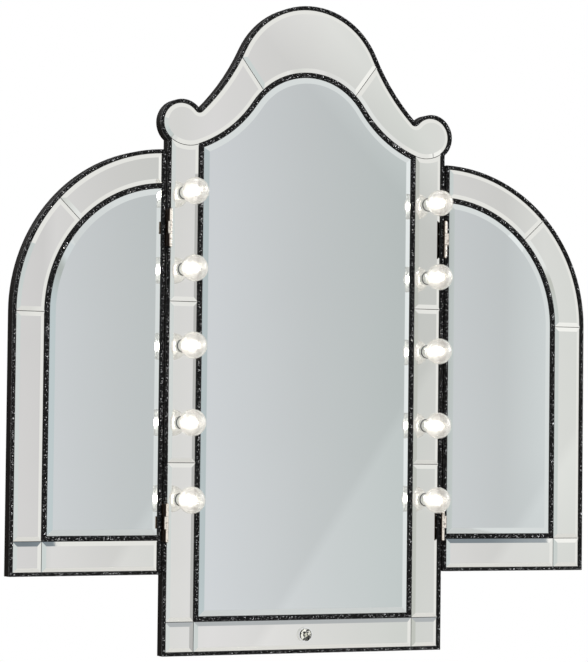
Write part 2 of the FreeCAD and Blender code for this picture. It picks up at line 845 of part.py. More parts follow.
def harness():
    """Right-hand lamp cable: from the driver's end, round one bend and up past every holder."""
    y = y_channel + wire_clearance + harness_radius
    start = (driver_length / 2, harness_height)
    bend_centre = (bulb_x - harness_bend, harness_height + harness_bend)
    bend_start = (bend_centre[0], harness_height)
    bend_end = (bulb_x, bend_centre[1])
    end = (bulb_x, bulb_heights[-1] + harness_tail)
    route = [line(start, bend_start), arc_to(bend_centre, bend_start, bend_end), line(bend_end, end)]
    return tube(harness_radius, [at_depth(e, y) for e in route], vec(*start, y), FreeCAD.Vector(1, 0, 0))


def led_driver():
    """Sealed low-voltage driver in its pocket."""
    body = block(-driver_length / 2, driver_length / 2, y_board_back, y_board_back - driver_thickness,
                 driver_foot_height, driver_foot_height + driver_height)
    edges = [e for e in body.Edges if abs(e.Vertexes[0].Y - e.Vertexes[1].Y) > driver_thickness / 2]
    return body.makeFillet(driver_corner_radius, edges)


def power_inlet():
    """Round low-voltage inlet beside the driver, facing back through a window in the cover."""
    x_sides = (inlet_x - inlet_width / 2, inlet_x + inlet_width / 2)
    z_sides = (inlet_z - inlet_height / 2, inlet_z + inlet_height / 2)
    body = block(*x_sides, y_cover_back, y_board_back - driver_thickness, *z_sides)
    floor = y_cover_back - inlet_bore_depth
    body = body.cut(rod(inlet_bore_radius, inlet_x, inlet_z, y_cover_back + overrun, floor))
    pin = rod(inlet_pin_radius, inlet_x, inlet_z, floor, floor + inlet_pin_length)
    return body.fuse(pin).removeSplitter()


def polygon(radius, sides, y):
    """Regular polygon about the button's axis."""
    angles = [2 * math.pi * i / sides for i in range(sides)]
    points = [vec(*on_circle((0.0, button_height), radius, angle), y) for angle in angles]
    return Part.makePolygon(points + points[:1])


def crystal_button():
    """Faceted crystal head on a round stem."""
    y_girdle = y_button_back - button_pavilion
    y_table = y_girdle - button_crown
    back = polygon(button_radius * button_back_share, button_facets, y_button_back)
    girdle = polygon(button_radius, button_facets, y_girdle)
    table = polygon(button_radius * button_table_share, button_facets, y_table)
    head = Part.makeLoft([back, girdle, table], True, True)
    return head.fuse(rod(stem_radius, 0, button_height, y_stem_end, y_button_back)).removeSplitter()


def button_bezel():
    """Rimmed bushing through the bottom rail, which guides the button's stem."""
    z = button_height
    y_rim = y_bezel_floor - bezel_rim_height
    rim = ring(bezel_radius, bezel_radius - bezel_rim_wall, 0, z, y_bezel_floor, y_rim)
    body = rod(bezel_radius, 0, z, y_tile_front, y_bezel_floor)
    body = body.fuse([rim, rod(bushing_radius, 0, z, y_tile_front, y_bushing_end)])
    y_open = y_bushing_end + overrun
    body = body.cut(rod(stem_radius + stem_clearance, 0, z, y_open, y_bezel_floor - overrun))
    seat = rod(switch_radius + stem_clearance, 0, z, y_open, y_switch_front - stem_clearance)
    return body.cut(seat).removeSplitter()


def button_switch():
    """Latching switch in the end of the bushing; the button's stem runs in its well."""
    body = rod(switch_radius, 0, button_height, y_switch_back, y_switch_front)
    well = stem_radius + switch_well_clearance
    floor = y_switch_front + switch_well_depth
    return body.cut(rod(well, 0, button_height, floor, y_switch_front - overrun))


def bushing_nut():
    """Hexagon nut that draws the bushing against the board, in its recess."""
    y_front = y_board_back - nut_recess_depth
    body = Part.Face(polygon(nut_radius, nut_sides, y_front)).extrude(FreeCAD.Vector(0, nut_thickness, 0))
    bore = bushing_radius + screw_clearance
    return body.cut(rod(bore, 0, button_height, y_front - overrun, y_board_back))


def switch_lead():
    """Lead from the back of the switch straight up to the driver."""
    y = y_switch_back + switch_lead_radius
    length = driver_foot_height - button_height
    return Part.makeCylinder(switch_lead_radius, length, vec(0, button_height, y))


def knuckle_spans(z, owner):
    """Heights of the knuckles of one leaf of the hinge centred at z: the ends or the middle."""
    foot = z - hinge_length / 2
    pitch = knuckle_length + knuckle_end_gap
    first = 0 if owner == "panel" else 1
    rows = range(first, knuckle_count, 2)
    return [(foot + k * pitch, foot + k * pitch + knuckle_length) for k in rows]


def hinge_leaf(owner, z):
    """Right-hand leaf of one hinge, on the edge of the panel or of the wing, with its knuckles."""
    x_face = panel_half_width if owner == "panel" else wing_edge_x
    outward = 1 if owner == "panel" else -1
    x_out = x_face + outward * leaf_thickness
    plate = block(x_face, x_out, y_crest, y_crest + leaf_depth, z - hinge_length / 2, z + hinge_length / 2)
    pieces = []
    for low, high in knuckle_spans(z, owner):
        y_front = y_axis if owner == "panel" else y_axis - knuckle_radius
        pieces.append(block(x_face, x_out, y_front, y_crest, low, high))
        pieces.append(Part.makeCylinder(knuckle_radius, high - low, vec(axis_x, low, y_axis)))
        if owner == "wing":
            pieces.append(block(axis_x, x_out, y_front, y_front + leaf_thickness, low, high))
    leaf = plate.fuse(pieces).removeSplitter()
    foot = vec(axis_x, z - hinge_length / 2 - overrun, y_axis)
    leaf = leaf.cut(Part.makeCylinder(pin_radius + pin_clearance, hinge_length + 2 * overrun, foot))
    into_board = FreeCAD.Vector(-outward, 0, 0)
    for k in (-1, 1):
        tip = vec(x_out, z + k * hinge_screw_spacing / 2, y_hinge_screw)
        hole = Part.makeCylinder(hinge_screw_radius + screw_clearance, 2 * leaf_thickness, tip, into_board)
        head = Part.makeCone(screw_head_radius + screw_clearance, hinge_screw_radius + screw_clearance,
                             hinge_head_depth, tip, into_board)
        leaf = leaf.cut(hole.fuse(head))
    return leaf


def hinge_screws(owner):
    """Right-hand screws of both hinges into the panel's or the wing's edge."""
    outward = 1 if owner == "panel" else -1
    x_face = panel_half_width if owner == "panel" else wing_edge_x
    x_out = x_face + outward * leaf_thickness
    into_board = FreeCAD.Vector(-outward, 0, 0)
    sizes = (hinge_screw_radius, hinge_screw_length, hinge_head_depth)
    return [screw(*sizes, vec(x_out, z, y_hinge_screw), into_board) for z in hinge_screw_sites()]


def hinge_pin(z):
    """Right-hand pin with a button head at each end."""
    foot = z - hinge_length / 2
    shank = Part.makeCylinder(pin_radius, hinge_length, vec(axis_x, foot, y_axis))
    below = vec(axis_x, foot - pin_head_height, y_axis)
    above = vec(axis_x, foot + hinge_length, y_axis)
    low = Part.makeCone(pin_radius, pin_head_radius, pin_head_height, below)
    high = Part.makeCone(pin_head_radius, pin_radius, pin_head_height, above)
    return shank.fuse([low, high]).removeSplitter()


def both_sides(shapes):
    return Part.makeCompound([mirrored(s) for s in shapes] + list(shapes))


def folded(shape):
    """A right-hand wing piece turned forward about the hinge axis to its rest angle."""
    copy = shape.copy()
    copy.rotate(vec(axis_x, 0, y_axis), FreeCAD.Vector(0, 0, 1), -wing_rest_angle)
    return copy


def wing_board():
    body = slab(wing_outline(0), y_board_back, y_board_front)
    for z in hinge_screw_sites():
        body = body.cut(side_screw_hole(wing_edge_x, 1, z))
    return body


def wing_band():
    """Border of a wing, open at the hinge side, before it is parted into tiles."""
    hinge_side = wing_edge_x + outer_bead_width
    outer = Part.Face(wing_shape(hinge_side, outer_bead_width))
    inner = Part.Face(wing_shape(hinge_side - overrun, border))
    return outer.cut(inner).Faces[0]


def wing_tiles():
    """The five tiles of a wing's border, from the hinge round the arch to the foot."""
    band = wing_band()
    centre = wing_centre()
    side = wing_edge_x + wing_width - border
    foot = wing_foot_height + border
    level = (1, 0)
    up = (0, 1)
    lean = math.radians(wing_arch_joint_angle)
    along = (math.cos(lean), math.sin(lean))
    across = (-math.sin(lean), math.cos(lean))
    arch = kept(band, (side, wing_spring_height), level, up)
    stile = kept(kept(band, (side, wing_spring_height), level, (0, -1)), (side, foot), level, up)
    base = kept(band, (side, foot), level, (0, -1))
    faces = {
        "upper_arch_tile": kept(arch, centre, along, across),
        "lower_arch_tile": kept(arch, centre, along, (-across[0], -across[1])),
        "stile_tile": stile,
        "corner_tile": kept(base, (side, foot), up, level),
        "bottom_tile": kept(base, (side, foot), up, (-1, 0)),
    }
    return {name: bevelled(face, tile_bevel_width, tile_bevel_depth) for name, face in faces.items()}


def wing_pieces():
    """All pieces of the right wing, at its rest angle."""
    mirror = Part.Face(wing_mirror_outline(inner_bead_width))
    pieces = {
        "board": wing_board(),
        "mirror": bevelled(mirror, mirror_bevel_width, mirror_bevel_depth),
        "outer_bead": bead(wing_outline, outer_bead_width),
        "inner_bead": wing_bead(),
        "hinge_leaves": Part.makeCompound([hinge_leaf("wing", z) for z in hinge_heights]),
        "hinge_screws": Part.makeCompound(hinge_screws("wing")),
    }
    pieces.update(wing_tiles())
    return {name: folded(shape) for name, shape in pieces.items()}


def all_pieces():
    mirror = Part.Face(mirror_outline(inner_bead_width))
    cable = harness()
    pieces = {
        "centre_board": centre_board(),
        "back_cover": back_cover(),
        "centre_mirror": bevelled(mirror, mirror_bevel_width, mirror_bevel_depth),
        "outer_bead": bead(panel_outline, outer_bead_width),
        "inner_bead": bead(mirror_outline, inner_bead_width),
        "bulb_globes": lamps(globe),
        "bulb_caps": lamps(bulb_cap),
        "bulb_emitters": lamps(emitter),
        "lamp_sockets": lamps(lamp_socket),
        "socket_collars": lamps(socket_collar),
        "right_lamp_cable": cable,
        "left_lamp_cable": mirrored(cable),
        "led_driver": led_driver(),
        "power_inlet": power_inlet(),
        "crystal_button": crystal_button(),
        "button_bezel": button_bezel(),
        "bushing_nut": bushing_nut(),
        "button_switch": button_switch(),
        "switch_lead": switch_lead(),
        "threaded_inserts": threaded_inserts(),
        "cover_screws": cover_screws(),
        "panel_hinge_leaves": both_sides([hinge_leaf("panel", z) for z in hinge_heights]),
        "panel_hinge_screws": both_sides(hinge_screws("panel")),
        "hinge_pins": both_sides([hinge_pin(z) for z in hinge_heights]),
    }
    pieces.update(border_tiles())
    for name, shape in wing_pieces().items():
        pieces["right_wing_" + name] = shape
        pieces["left_wing_" + name] = mirrored(shape)
    return pieces


def main():
    os.makedirs("parts", exist_ok=True)
    for name, shape in all_pieces().items():
        placed = shape.copy()
        placed.translate(vec(0, -insert_centre_height))
        placed.exportStep("parts/" + name + ".step")


main()
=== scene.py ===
"""Looks of a tri-fold lighted vanity mirror: silvered tiles, glitter beads and ten lit globe bulbs."""

import json
import math

import bmesh
import bpy
import numpy as np
from bpy.props import FloatProperty, FloatVectorProperty, IntProperty, PointerProperty
from mathutils import Matrix, Vector

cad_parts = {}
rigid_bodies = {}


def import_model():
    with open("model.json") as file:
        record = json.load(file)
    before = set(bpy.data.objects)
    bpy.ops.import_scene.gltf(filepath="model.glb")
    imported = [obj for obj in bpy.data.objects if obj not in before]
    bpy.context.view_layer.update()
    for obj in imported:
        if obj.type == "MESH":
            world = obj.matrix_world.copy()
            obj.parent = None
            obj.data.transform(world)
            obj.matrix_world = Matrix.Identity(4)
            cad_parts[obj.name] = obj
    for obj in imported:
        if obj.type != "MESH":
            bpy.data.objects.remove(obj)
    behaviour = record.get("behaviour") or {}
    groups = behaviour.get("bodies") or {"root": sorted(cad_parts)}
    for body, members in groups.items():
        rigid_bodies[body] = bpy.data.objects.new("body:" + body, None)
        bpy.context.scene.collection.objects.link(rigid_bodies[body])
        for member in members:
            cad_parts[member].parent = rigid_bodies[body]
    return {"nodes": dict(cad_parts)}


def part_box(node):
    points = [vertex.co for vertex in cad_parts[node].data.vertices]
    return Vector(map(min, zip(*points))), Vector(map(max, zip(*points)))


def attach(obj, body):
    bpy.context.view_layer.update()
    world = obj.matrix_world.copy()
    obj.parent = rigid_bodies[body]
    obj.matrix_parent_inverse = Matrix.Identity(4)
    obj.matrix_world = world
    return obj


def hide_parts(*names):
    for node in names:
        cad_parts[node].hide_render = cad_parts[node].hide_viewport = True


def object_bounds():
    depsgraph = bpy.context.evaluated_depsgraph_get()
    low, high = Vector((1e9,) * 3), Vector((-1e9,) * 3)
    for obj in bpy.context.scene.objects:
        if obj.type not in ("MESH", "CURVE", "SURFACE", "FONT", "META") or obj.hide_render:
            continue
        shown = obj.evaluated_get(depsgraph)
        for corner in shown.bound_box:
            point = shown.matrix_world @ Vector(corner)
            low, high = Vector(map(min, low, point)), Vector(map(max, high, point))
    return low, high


bl_info = {
    "name": "Lighted vanity mirror",
    "version": (1, 0, 0),
    "blender": (4, 5, 0),
    "location": "View3D > Sidebar > Vanity",
    "description": "Finishes and small fittings of a tri-fold lighted vanity mirror, on its CAD frame",
    "category": "Object",
}

for leftover in list(bpy.data.objects):
    bpy.data.objects.remove(leftover)
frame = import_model()
cad_box = [list(corner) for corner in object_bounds()]

MM = 0.001
# One turn of the wave texture's bands is this long at a scale of 1
WAVE_PERIOD = math.pi / 10
# Points of a mesh closer than this are one point
MERGE = 1e-6
# A screw's points this near to its shank's radius lie on the shank
SHANK_SLACK = 2e-5
WHITE = (1.0, 1.0, 1.0, 1.0)

CENTRE = "centre_panel"
WINGS = ("left_wing", "right_wing")

# From one screw's recess to the next, so that no two in a row stand alike
RECESS_TURN = math.radians(137.5)
# A recess narrows to this share at its floor, and a shank to this share at its tip
RECESS_TAPER = 0.7
TIP_SHARE = 1 / 8
# Facets of the dark rings that paint the contact shadow under the collars
SHADOW_RING_SIDES = 8
SHADOW_RING_STEPS = 48
FLOOR_SIDES = 96

# The picture is 588 by 662 pixels, and the camera's sensor spans its longer side
IMAGE_HEIGHT = 662
SENSOR = 36.0
CLIP_END = 100.0

# Soft boxes: name, place and width in metres, power in watts
LIGHT_TARGET = (0.0, 0.0, 0.15)
SOFT_BOXES = (
    ("key_light", (-2.4, -2.2, 2.6), 1.6, 55.0),
    ("fill_light", (3.8, -0.2, 1.2), 1.8, 40.0),
    ("top_light", (0.3, 0.6, 3.4), 1.8, 35.0),
    ("back_light", (-1.2, 3.2, 1.8), 1.8, 40.0),
)
# Brightness of the surroundings on matt surfaces and in reflections, where 1 is white
DIFFUSE_LEVEL = 0.55
GLOSSY_LEVEL = 0.98

# The broad card that the mirrors show: lower left and upper right corner, as X and Z in metres
BROAD_LOW = (-0.6, -0.95)
BROAD_HIGH = (3.6, 1.605)
# Where its left end and its foot have faded in
BROAD_SOLID = (-0.1, -0.8)
# Its tones at places along X, from left to right
BROAD_TONES = (
    (-0.6, "#DEE6E7"),
    (0.53, "#DEE6E7"),
    (0.65, "#D0D3CE"),
    (0.69, "#D0D3CE"),
    (0.78, "#F7FAFA"),
    (2.15, "#ECECEC"),
    (2.29, "#F1F0F2"),
    (2.68, "#E3E3E3"),
    (3.09, "#D7DAD8"),
    (3.25, "#DADBDA"),
    (3.6, "#F3F3F3"),
)
# It is lighter past a slanting line at its lower right and another at its upper right, and towards its
# foot: the direction across the line, the distances where a rise starts and ends, and its two levels
BROAD_RISES = (
    ((1.46, 0.0, -1.0), (4.35, 4.43), (1.0, 1.1)),
    ((1.0, 0.0, 1.0), (4.0, 4.33), (1.0, 1.25)),
    ((0.0, 0.0, 1.0), (-0.6, 1.3), (1.045, 0.975)),
)

# The other cards: lower left and upper right corner as X and Z, distance in front of the mirrors, in metres
SLIM_CARD = ((1.1, -0.45), (1.14, 0.58), 1.3)
FAR_DARK_CARD = ((6.2, 4.72), (7.15, 5.45), 14.3)
FAR_GREY_CARD = ((5.9, 4.3), (8.3, 4.62), 14.3)
LEFT_NET = ((-0.2, -0.4), (-0.025, 0.7), 0.8)
RIGHT_NET = ((0.66, -0.35), (0.95, 0.6), 0.8)
# What the left net lets through, and where it is at its densest: from its right side, foot and head
LEFT_THROUGH = 0.9
LEFT_DENSE = (-0.05, -0.2, 0.45)
# Light that the right net adds at its foot and above, between these heights, past this place along X
RIGHT_GLOW = (0.04, 0.14)
RIGHT_HEIGHTS = (-0.2, 0.0)
RIGHT_FULL = 0.74


def linear(hex_colour):
    """An sRGB hex colour as linear RGBA."""
    shares = [int(hex_colour[i:i + 2], 16) / 255 for i in (1, 3, 5)]
    return tuple(s / 12.92 if s <= 0.04045 else ((s + 0.055) / 1.055) ** 2.4 for s in shares) + (1.0,)


def shaded(tint, share):
    """A linear colour made darker or lighter by a share."""
    return [min(1.0, channel * share) for channel in tint[:3]] + [1.0]


def colour(name, description, hex_colour):
    return FloatVectorProperty(name=name, description=description, subtype="COLOR", size=4,
                               min=0.0, max=1.0, default=linear(hex_colour))


def size(name, description, millimetres):
    return FloatProperty(name=name, description=description, unit="LENGTH", min=0.0,
                         precision=5, default=millimetres * MM)


def factor(name, description, share):
    return FloatProperty(name=name, description=description,
                         subtype="FACTOR", min=0.0, max=1.0, default=share)


def angle(name, description, radians):
    return FloatProperty(name=name, description=description, subtype="ANGLE", default=radians)


def brightness(name, description, level):
    return FloatProperty(name=name, description=description, min=0.0, default=level)


class VANITY_PG_finishes(bpy.types.PropertyGroup):
    mirror_tint: colour("Mirror", "Tint of the silvered mirrors", "#DADFE0")
    tile_tint: colour("Tile", "Tint of the silvered border tiles", "#E8E8E5")
    bead_resin: colour("Bead", "Black resin of the beads", "#0B0B0C")
    bead_flake: colour("Glitter", "Glitter flakes in the beads", "#E2E3E6")
    board_black: colour("Board", "Painted edges and backs of the boards", "#0C0908")
    hardboard: colour("Hardboard", "Back cover", "#4A382B")
    hardboard_fibre: colour("Hardboard fibre", "Lighter fibres in the back cover", "#6B5442")
    lamp_light: colour("Lamp light", "Colour of the lit bulbs", "#FFF8EA")
    porcelain: colour("Porcelain", "Lamp holders", "#EFECE4")
    silver: colour("Silver plate", "Collars of the lamps", "#E6E7E3")
    chrome: colour("Chrome", "The button's bezel", "#F0F1F1")
    foil: colour("Foil", "Bright foil behind the crystal", "#F4F4EA")
    # Painted reflection: the crystal foil's dark patches stand in for dark surroundings seen in its facets
    foil_dark_patch: colour("Tarnish", "Tarnished patches of the foil", "#14150F")
    # Painted shade: the hinges' dark brown stands in for shade and dark reflection in the gaps
    nickel: colour("Tarnished nickel", "Hinges", "#3A2C22")
    # Painted highlight: bright nickel along the front of the hinge knuckles
    rubbed: colour("Rubbed nickel", "Hinge knuckles where they are rubbed bright", "#F2EAE0")
    zinc: colour("Zinc", "Screws and the bushing nut", "#B7BCC2")
    brass: colour("Brass", "Threaded inserts", "#B99A57")
    cap_plating: colour("Cap plating", "Screw caps of the bulbs", "#E2E0DA")
    moulded_black: colour("Moulded plastic", "Driver, switch and inlet", "#1E1F21")
    jacket: colour("Cable jacket", "Cables behind the cover", "#E7E6E2")
    # Painted shadow: near-black of the rings under the lamps' collars
    rubber: colour("Rubber", "Gaskets under the lamps' collars", "#2A2A2D")
    floor: colour("Floor", "Studio floor", "#F2F1EE")
    sheen: colour("Sheen", "Tint of the surroundings in reflections", "#FFFFFD")
    slim_card: colour("Slim card", "Slim card that the border's bevels show", "#C8C8C8")
    far_dark_card: colour("Far dark card", "Dark card far off that the bevels show", "#8A949C")
    far_grey_card: colour("Far grey card", "Grey card far off that the bevels show", "#C0C4C8")


class VANITY_PG_sizes(bpy.types.PropertyGroup):
    mirror_patch: size("Mirror patch", "Size of a faint cloud in the mirrors' silvering", 180.0)
    tile_patch: size("Tile patch", "Size of a faint cloud in the tiles' silvering", 70.0)
    flake_grain: size("Glitter grain", "Size of one glitter flake, drawn coarse enough to show", 1.7)
    peel_grain: size("Lacquer peel", "Size of the lacquer's orange peel, drawn coarse enough to show", 3.0)
    fibre_length: size("Fibre length", "Length of the back cover's fibres", 4.0)
    fibre_cloud: size("Fibre cloud", "Size of a patch of more or fewer fibres", 90.0)
    # Length of the neck's painted glow
    neck_length: size("Neck length", "Length of a bulb's lit neck", 9.0)
    # How far before the hinge axis the knuckles' painted highlight begins
    knuckle_highlight_reach: size("Knuckle rub", "How far before the hinge axis the knuckles are rubbed bright", 1.5)
    pearl_grain: size("Pearl grain", "Size of the bulbs' frosted grains, drawn coarse enough to show", 0.8)
    pearl_frost: factor("Pearl frost", "Roughness of the frosted grains", 0.75)
    thread_pitch: size("Cap thread", "Pitch of the bulb caps' thread", 2.2)
    # Cord radius of the dark ring that paints the contact shadow under a collar
    shadow_ring_radius: size("Gasket", "Radius of the rubber ring's cord under a collar", 0.45)
    crystal_crown: size("Crystal crown", "Depth of the crystal from its table to its foil", 4.8)
    foil_patch: size("Foil patch", "Size of a patch of the foil behind the crystal", 3.2)
    recess_width: size("Recess width", "Width of a slot of the screws' cross recess", 0.8)
    recess_depth: size("Recess depth", "Depth of the screws' cross recess", 0.7)
    recess_share: factor("Recess length", "Length of a recess against its head", 0.62)
    screw_sides: IntProperty(name="Screw sides", description="Facets round a screw", subtype="UNSIGNED",
                             min=8, default=20)


class VANITY_PG_studio(bpy.types.PropertyGroup):
    eye: FloatVectorProperty(name="Eye", description="Where the camera stands", subtype="XYZ",
                             unit="LENGTH", default=(-1.7990, -3.8333, 0.0293))
    yaw: angle("Yaw", "Turn of the camera to the right", 0.4362)
    pitch: angle("Pitch", "Tilt of the camera upwards", 0.0365)
    roll: angle("Roll", "Lean of the camera", 0.0111)
    focal_pixels: FloatProperty(name="Focal length", description="Focal length in the picture's pixels",
                                subtype="PIXEL", default=2800.0)
    floor_drop: size("Floor", "How far the floor lies below the panel's foot", 450.0)
    floor_radius: size("Floor radius", "Radius of the floor", 2200.0)
    glow: brightness("Glow", "Brightness of the bulbs' light sources", 16.0)
    # Painted glow on the bulbs' glass: faint on the globe, strong at the neck
    wash: brightness("Wash", "Brightness of the bulbs' glass", 0.07)
    painted_neck_glow: brightness("Neck wash", "Brightness of the bulbs' necks", 0.4)
    card_distance: size("Card distance", "How far in front of the mirrors the broad card stands", 5700.0)


def finishes():
    return bpy.context.scene.vanity_finishes


def sizes():
    return bpy.context.scene.vanity_sizes


def studio():
    return bpy.context.scene.vanity_studio


def add(tree, kind, settings=None, inputs=None):
    """Adds a node with its settings, and its inputs as values or as sockets to link from."""
    made = tree.nodes.new(kind)
    for name, value in (settings or {}).items():
        setattr(made, name, value)
    for name, value in (inputs or {}).items():
        if isinstance(value, bpy.types.NodeSocket):
            tree.links.new(value, made.inputs[name])
        else:
            made.inputs[name].default_value = value
    return made


def material(name, **values):
    """A new material with its Principled shader, whose plain values are given by socket name."""
    made = bpy.data.materials.new(name)
    made.use_nodes = True
    shader = made.node_tree.nodes["Principled BSDF"]
    for socket, value in values.items():
        shader.inputs[socket.replace("_", " ")].default_value = value
    coords = add(made.node_tree, "ShaderNodeTexCoord").outputs["Object"]
    return made, made.node_tree, shader, coords


def dress(finish, *names):
    """Gives CAD nodes one finish."""
    for name in names:
        slots = frame["nodes"][name].data.materials
        slots.clear()
        slots.append(finish)


def named(ending):
    """CAD nodes whose names end alike."""
    return sorted(name for name in frame["nodes"] if name.endswith(ending))


def silvered_glass(name, tint, patch):
    """Float glass silvered on its back: a clean mirror, faintly uneven in tone and haze over each patch."""
    # Share of the tint at the deepest, and the roughness from clear to hazy
    deepest = 0.965
    clear, hazy = 0.008, 0.022
    made, tree, shader, coords = material(name, Metallic=1.0)
    clouds = add(tree, "ShaderNodeTexNoise", None, {"Vector": coords, "Scale": 1 / patch, "Detail": 2.0})
    tone = add(tree, "ShaderNodeMix", {"data_type": "RGBA"},
               {"Factor": clouds.outputs["Fac"], "A": shaded(tint, deepest), "B": tint})
    tree.links.new(tone.outputs["Result"], shader.inputs["Base Color"])
    haze = add(tree, "ShaderNodeMapRange", None,
               {"Value": clouds.outputs["Fac"], "To Min": clear, "To Max": hazy})
    tree.links.new(haze.outputs["Result"], shader.inputs["Roughness"])
    return made


def glitter_resin():
    """Black resin cord with glitter cast along its crest: each flake has its own slant, so only few flash."""
    f = finishes()
    # How much of its cell a flake fills, and a power that leaves most flakes dull
    flake_reach = 0.45
    dulling = 6.0
    # Flakes lie where the cord faces forward, and hardly any on its flanks
    flank, crest_facing = -0.6, -0.95
    flank_share = 0.12
    resin_rough, flake_rough = 0.55, 0.2
    slant_range = 0.9
    made, tree, shader, coords = material("glitter_resin", Specular_IOR_Level=0.1)
    cells = add(tree, "ShaderNodeTexVoronoi", None, {"Vector": coords, "Scale": 1 / sizes().flake_grain})
    chance = add(tree, "ShaderNodeSeparateColor", None, {"Color": cells.outputs["Color"]})
    near = add(tree, "ShaderNodeMath", {"operation": "LESS_THAN"},
               {0: cells.outputs["Distance"], 1: flake_reach})
    flash = add(tree, "ShaderNodeMath", {"operation": "POWER"}, {0: chance.outputs["Red"], 1: dulling})
    outward = add(tree, "ShaderNodeTexCoord").outputs["Normal"]
    facing = add(tree, "ShaderNodeSeparateXYZ", None, {"Vector": outward})
    crest = add(tree, "ShaderNodeMapRange", None,
                {"Value": facing.outputs["Y"], "From Min": flank, "From Max": crest_facing,
                 "To Min": flank_share})
    flake = add(tree, "ShaderNodeMath", {"operation": "MULTIPLY"}, {0: near.outputs[0], 1: flash.outputs[0]})
    shown = add(tree, "ShaderNodeMath", {"operation": "MULTIPLY"},
                {0: flake.outputs[0], 1: crest.outputs["Result"]})
    skin = add(tree, "ShaderNodeMix", {"data_type": "RGBA"},
               {"Factor": shown.outputs[0], "A": f.bead_resin, "B": f.bead_flake})
    tree.links.new(skin.outputs["Result"], shader.inputs["Base Color"])
    tree.links.new(shown.outputs[0], shader.inputs["Metallic"])
    rough = add(tree, "ShaderNodeMapRange", None,
                {"Value": shown.outputs[0], "To Min": resin_rough, "To Max": flake_rough})
    tree.links.new(rough.outputs["Result"], shader.inputs["Roughness"])
    slant = add(tree, "ShaderNodeVectorMath", {"operation": "SUBTRACT"},
                {0: cells.outputs["Color"], 1: (0.5, 0.5, 0.5)})
    level = add(tree, "ShaderNodeNewGeometry").outputs["Normal"]
    tilted = add(tree, "ShaderNodeVectorMath", {"operation": "MULTIPLY_ADD"},
                 {0: slant.outputs["Vector"], 1: (slant_range, slant_range, slant_range), 2: level})
    normal = add(tree, "ShaderNodeVectorMath", {"operation": "NORMALIZE"}, {0: tilted.outputs["Vector"]})
    tree.links.new(normal.outputs["Vector"], shader.inputs["Normal"])
    return made


def black_lacquer():
    """Black lacquer sprayed over fibreboard: dull satin edges and backs with an orange peel."""
    lift = 1.8
    smooth, dull = 0.5, 0.65
    made, tree, shader, coords = material("black_lacquer", Specular_IOR_Level=0.01)
    peel = add(tree, "ShaderNodeTexNoise", None,
               {"Vector": coords, "Scale": 1 / sizes().peel_grain, "Detail": 3.0})
    black = finishes().board_black
    tone = add(tree, "ShaderNodeMix", {"data_type": "RGBA"},
               {"Factor": peel.outputs["Fac"], "A": black, "B": shaded(black, lift)})
    tree.links.new(tone.outputs["Result"], shader.inputs["Base Color"])
    rough = add(tree, "ShaderNodeMapRange", None,
                {"Value": peel.outputs["Fac"], "To Min": smooth, "To Max": dull})
    tree.links.new(rough.outputs["Result"], shader.inputs["Roughness"])
    bump = add(tree, "ShaderNodeBump", None,
               {"Height": peel.outputs["Fac"], "Strength": 0.12, "Distance": 0.3 * MM})
    tree.links.new(bump.outputs["Normal"], shader.inputs["Normal"])
    return made


def hardboard():
    """Pressed wood fibre: matt brown, flecked with lighter fibres a few millimetres long."""
    f = finishes()
    s = sizes()
    sparse, dense = 0.38, 0.66
    made, tree, shader, coords = material("hardboard", Specular_IOR_Level=0.25, Roughness=0.78)
    fibres = add(tree, "ShaderNodeTexNoise", None,
                 {"Vector": coords, "Scale": 1 / s.fibre_length, "Detail": 6.0, "Distortion": 1.5})
    clouds = add(tree, "ShaderNodeTexNoise", None,
                 {"Vector": coords, "Scale": 1 / s.fibre_cloud, "Detail": 2.0})
    sharp = add(tree, "ShaderNodeMapRange", None,
                {"Value": fibres.outputs["Fac"], "From Min": sparse, "From Max": dense})
    flecks = add(tree, "ShaderNodeMath", {"operation": "MULTIPLY"},
                 {0: sharp.outputs["Result"], 1: clouds.outputs["Fac"]})
    tone = add(tree, "ShaderNodeMix", {"data_type": "RGBA"},
               {"Factor": flecks.outputs[0], "A": f.hardboard, "B": f.hardboard_fibre})
    tree.links.new(tone.outputs["Result"], shader.inputs["Base Color"])
    bump = add(tree, "ShaderNodeBump", None,
               {"Height": fibres.outputs["Fac"], "Strength": 0.25, "Distance": 0.4 * MM})
    tree.links.new(bump.outputs["Normal"], shader.inputs["Normal"])
    return made


def lit_glass():
    """Blown glass with a pearl coat: frosted grains among clear ones spread the source into a halo. A painted
    glow lights the glass faintly and its neck strongly.
    """
    s = sizes()
    clear_grain, frosted_grain = 0.52, 0.62
    made, tree, shader, coords = material("pearl_glass", Transmission_Weight=1.0, IOR=1.46,
                                          Emission_Color=finishes().lamp_light)
    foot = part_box("bulb_globes")[1].y
    neck_top, neck_middle = foot - s.neck_length, foot - s.neck_length / 2
    depth = add(tree, "ShaderNodeSeparateXYZ", None, {"Vector": coords})
    # Painted glow: faint on the globe, strong at the neck, where it hides the cap
    wash = add(tree, "ShaderNodeMapRange", None,
               {"Value": depth.outputs["Y"], "From Min": neck_top, "From Max": neck_middle,
                "To Min": studio().wash, "To Max": studio().painted_neck_glow})
    tree.links.new(wash.outputs["Result"], shader.inputs["Emission Strength"])
    grains = add(tree, "ShaderNodeTexNoise", None,
                 {"Vector": coords, "Scale": 1 / s.pearl_grain, "Detail": 1.0})
    frost = add(tree, "ShaderNodeMapRange", None,
                {"Value": grains.outputs["Fac"], "From Min": clear_grain, "From Max": frosted_grain,
                 "To Min": 0.0, "To Max": s.pearl_frost})
    tree.links.new(frost.outputs["Result"], shader.inputs["Roughness"])
    made.cycles.emission_sampling = "NONE"
    return made


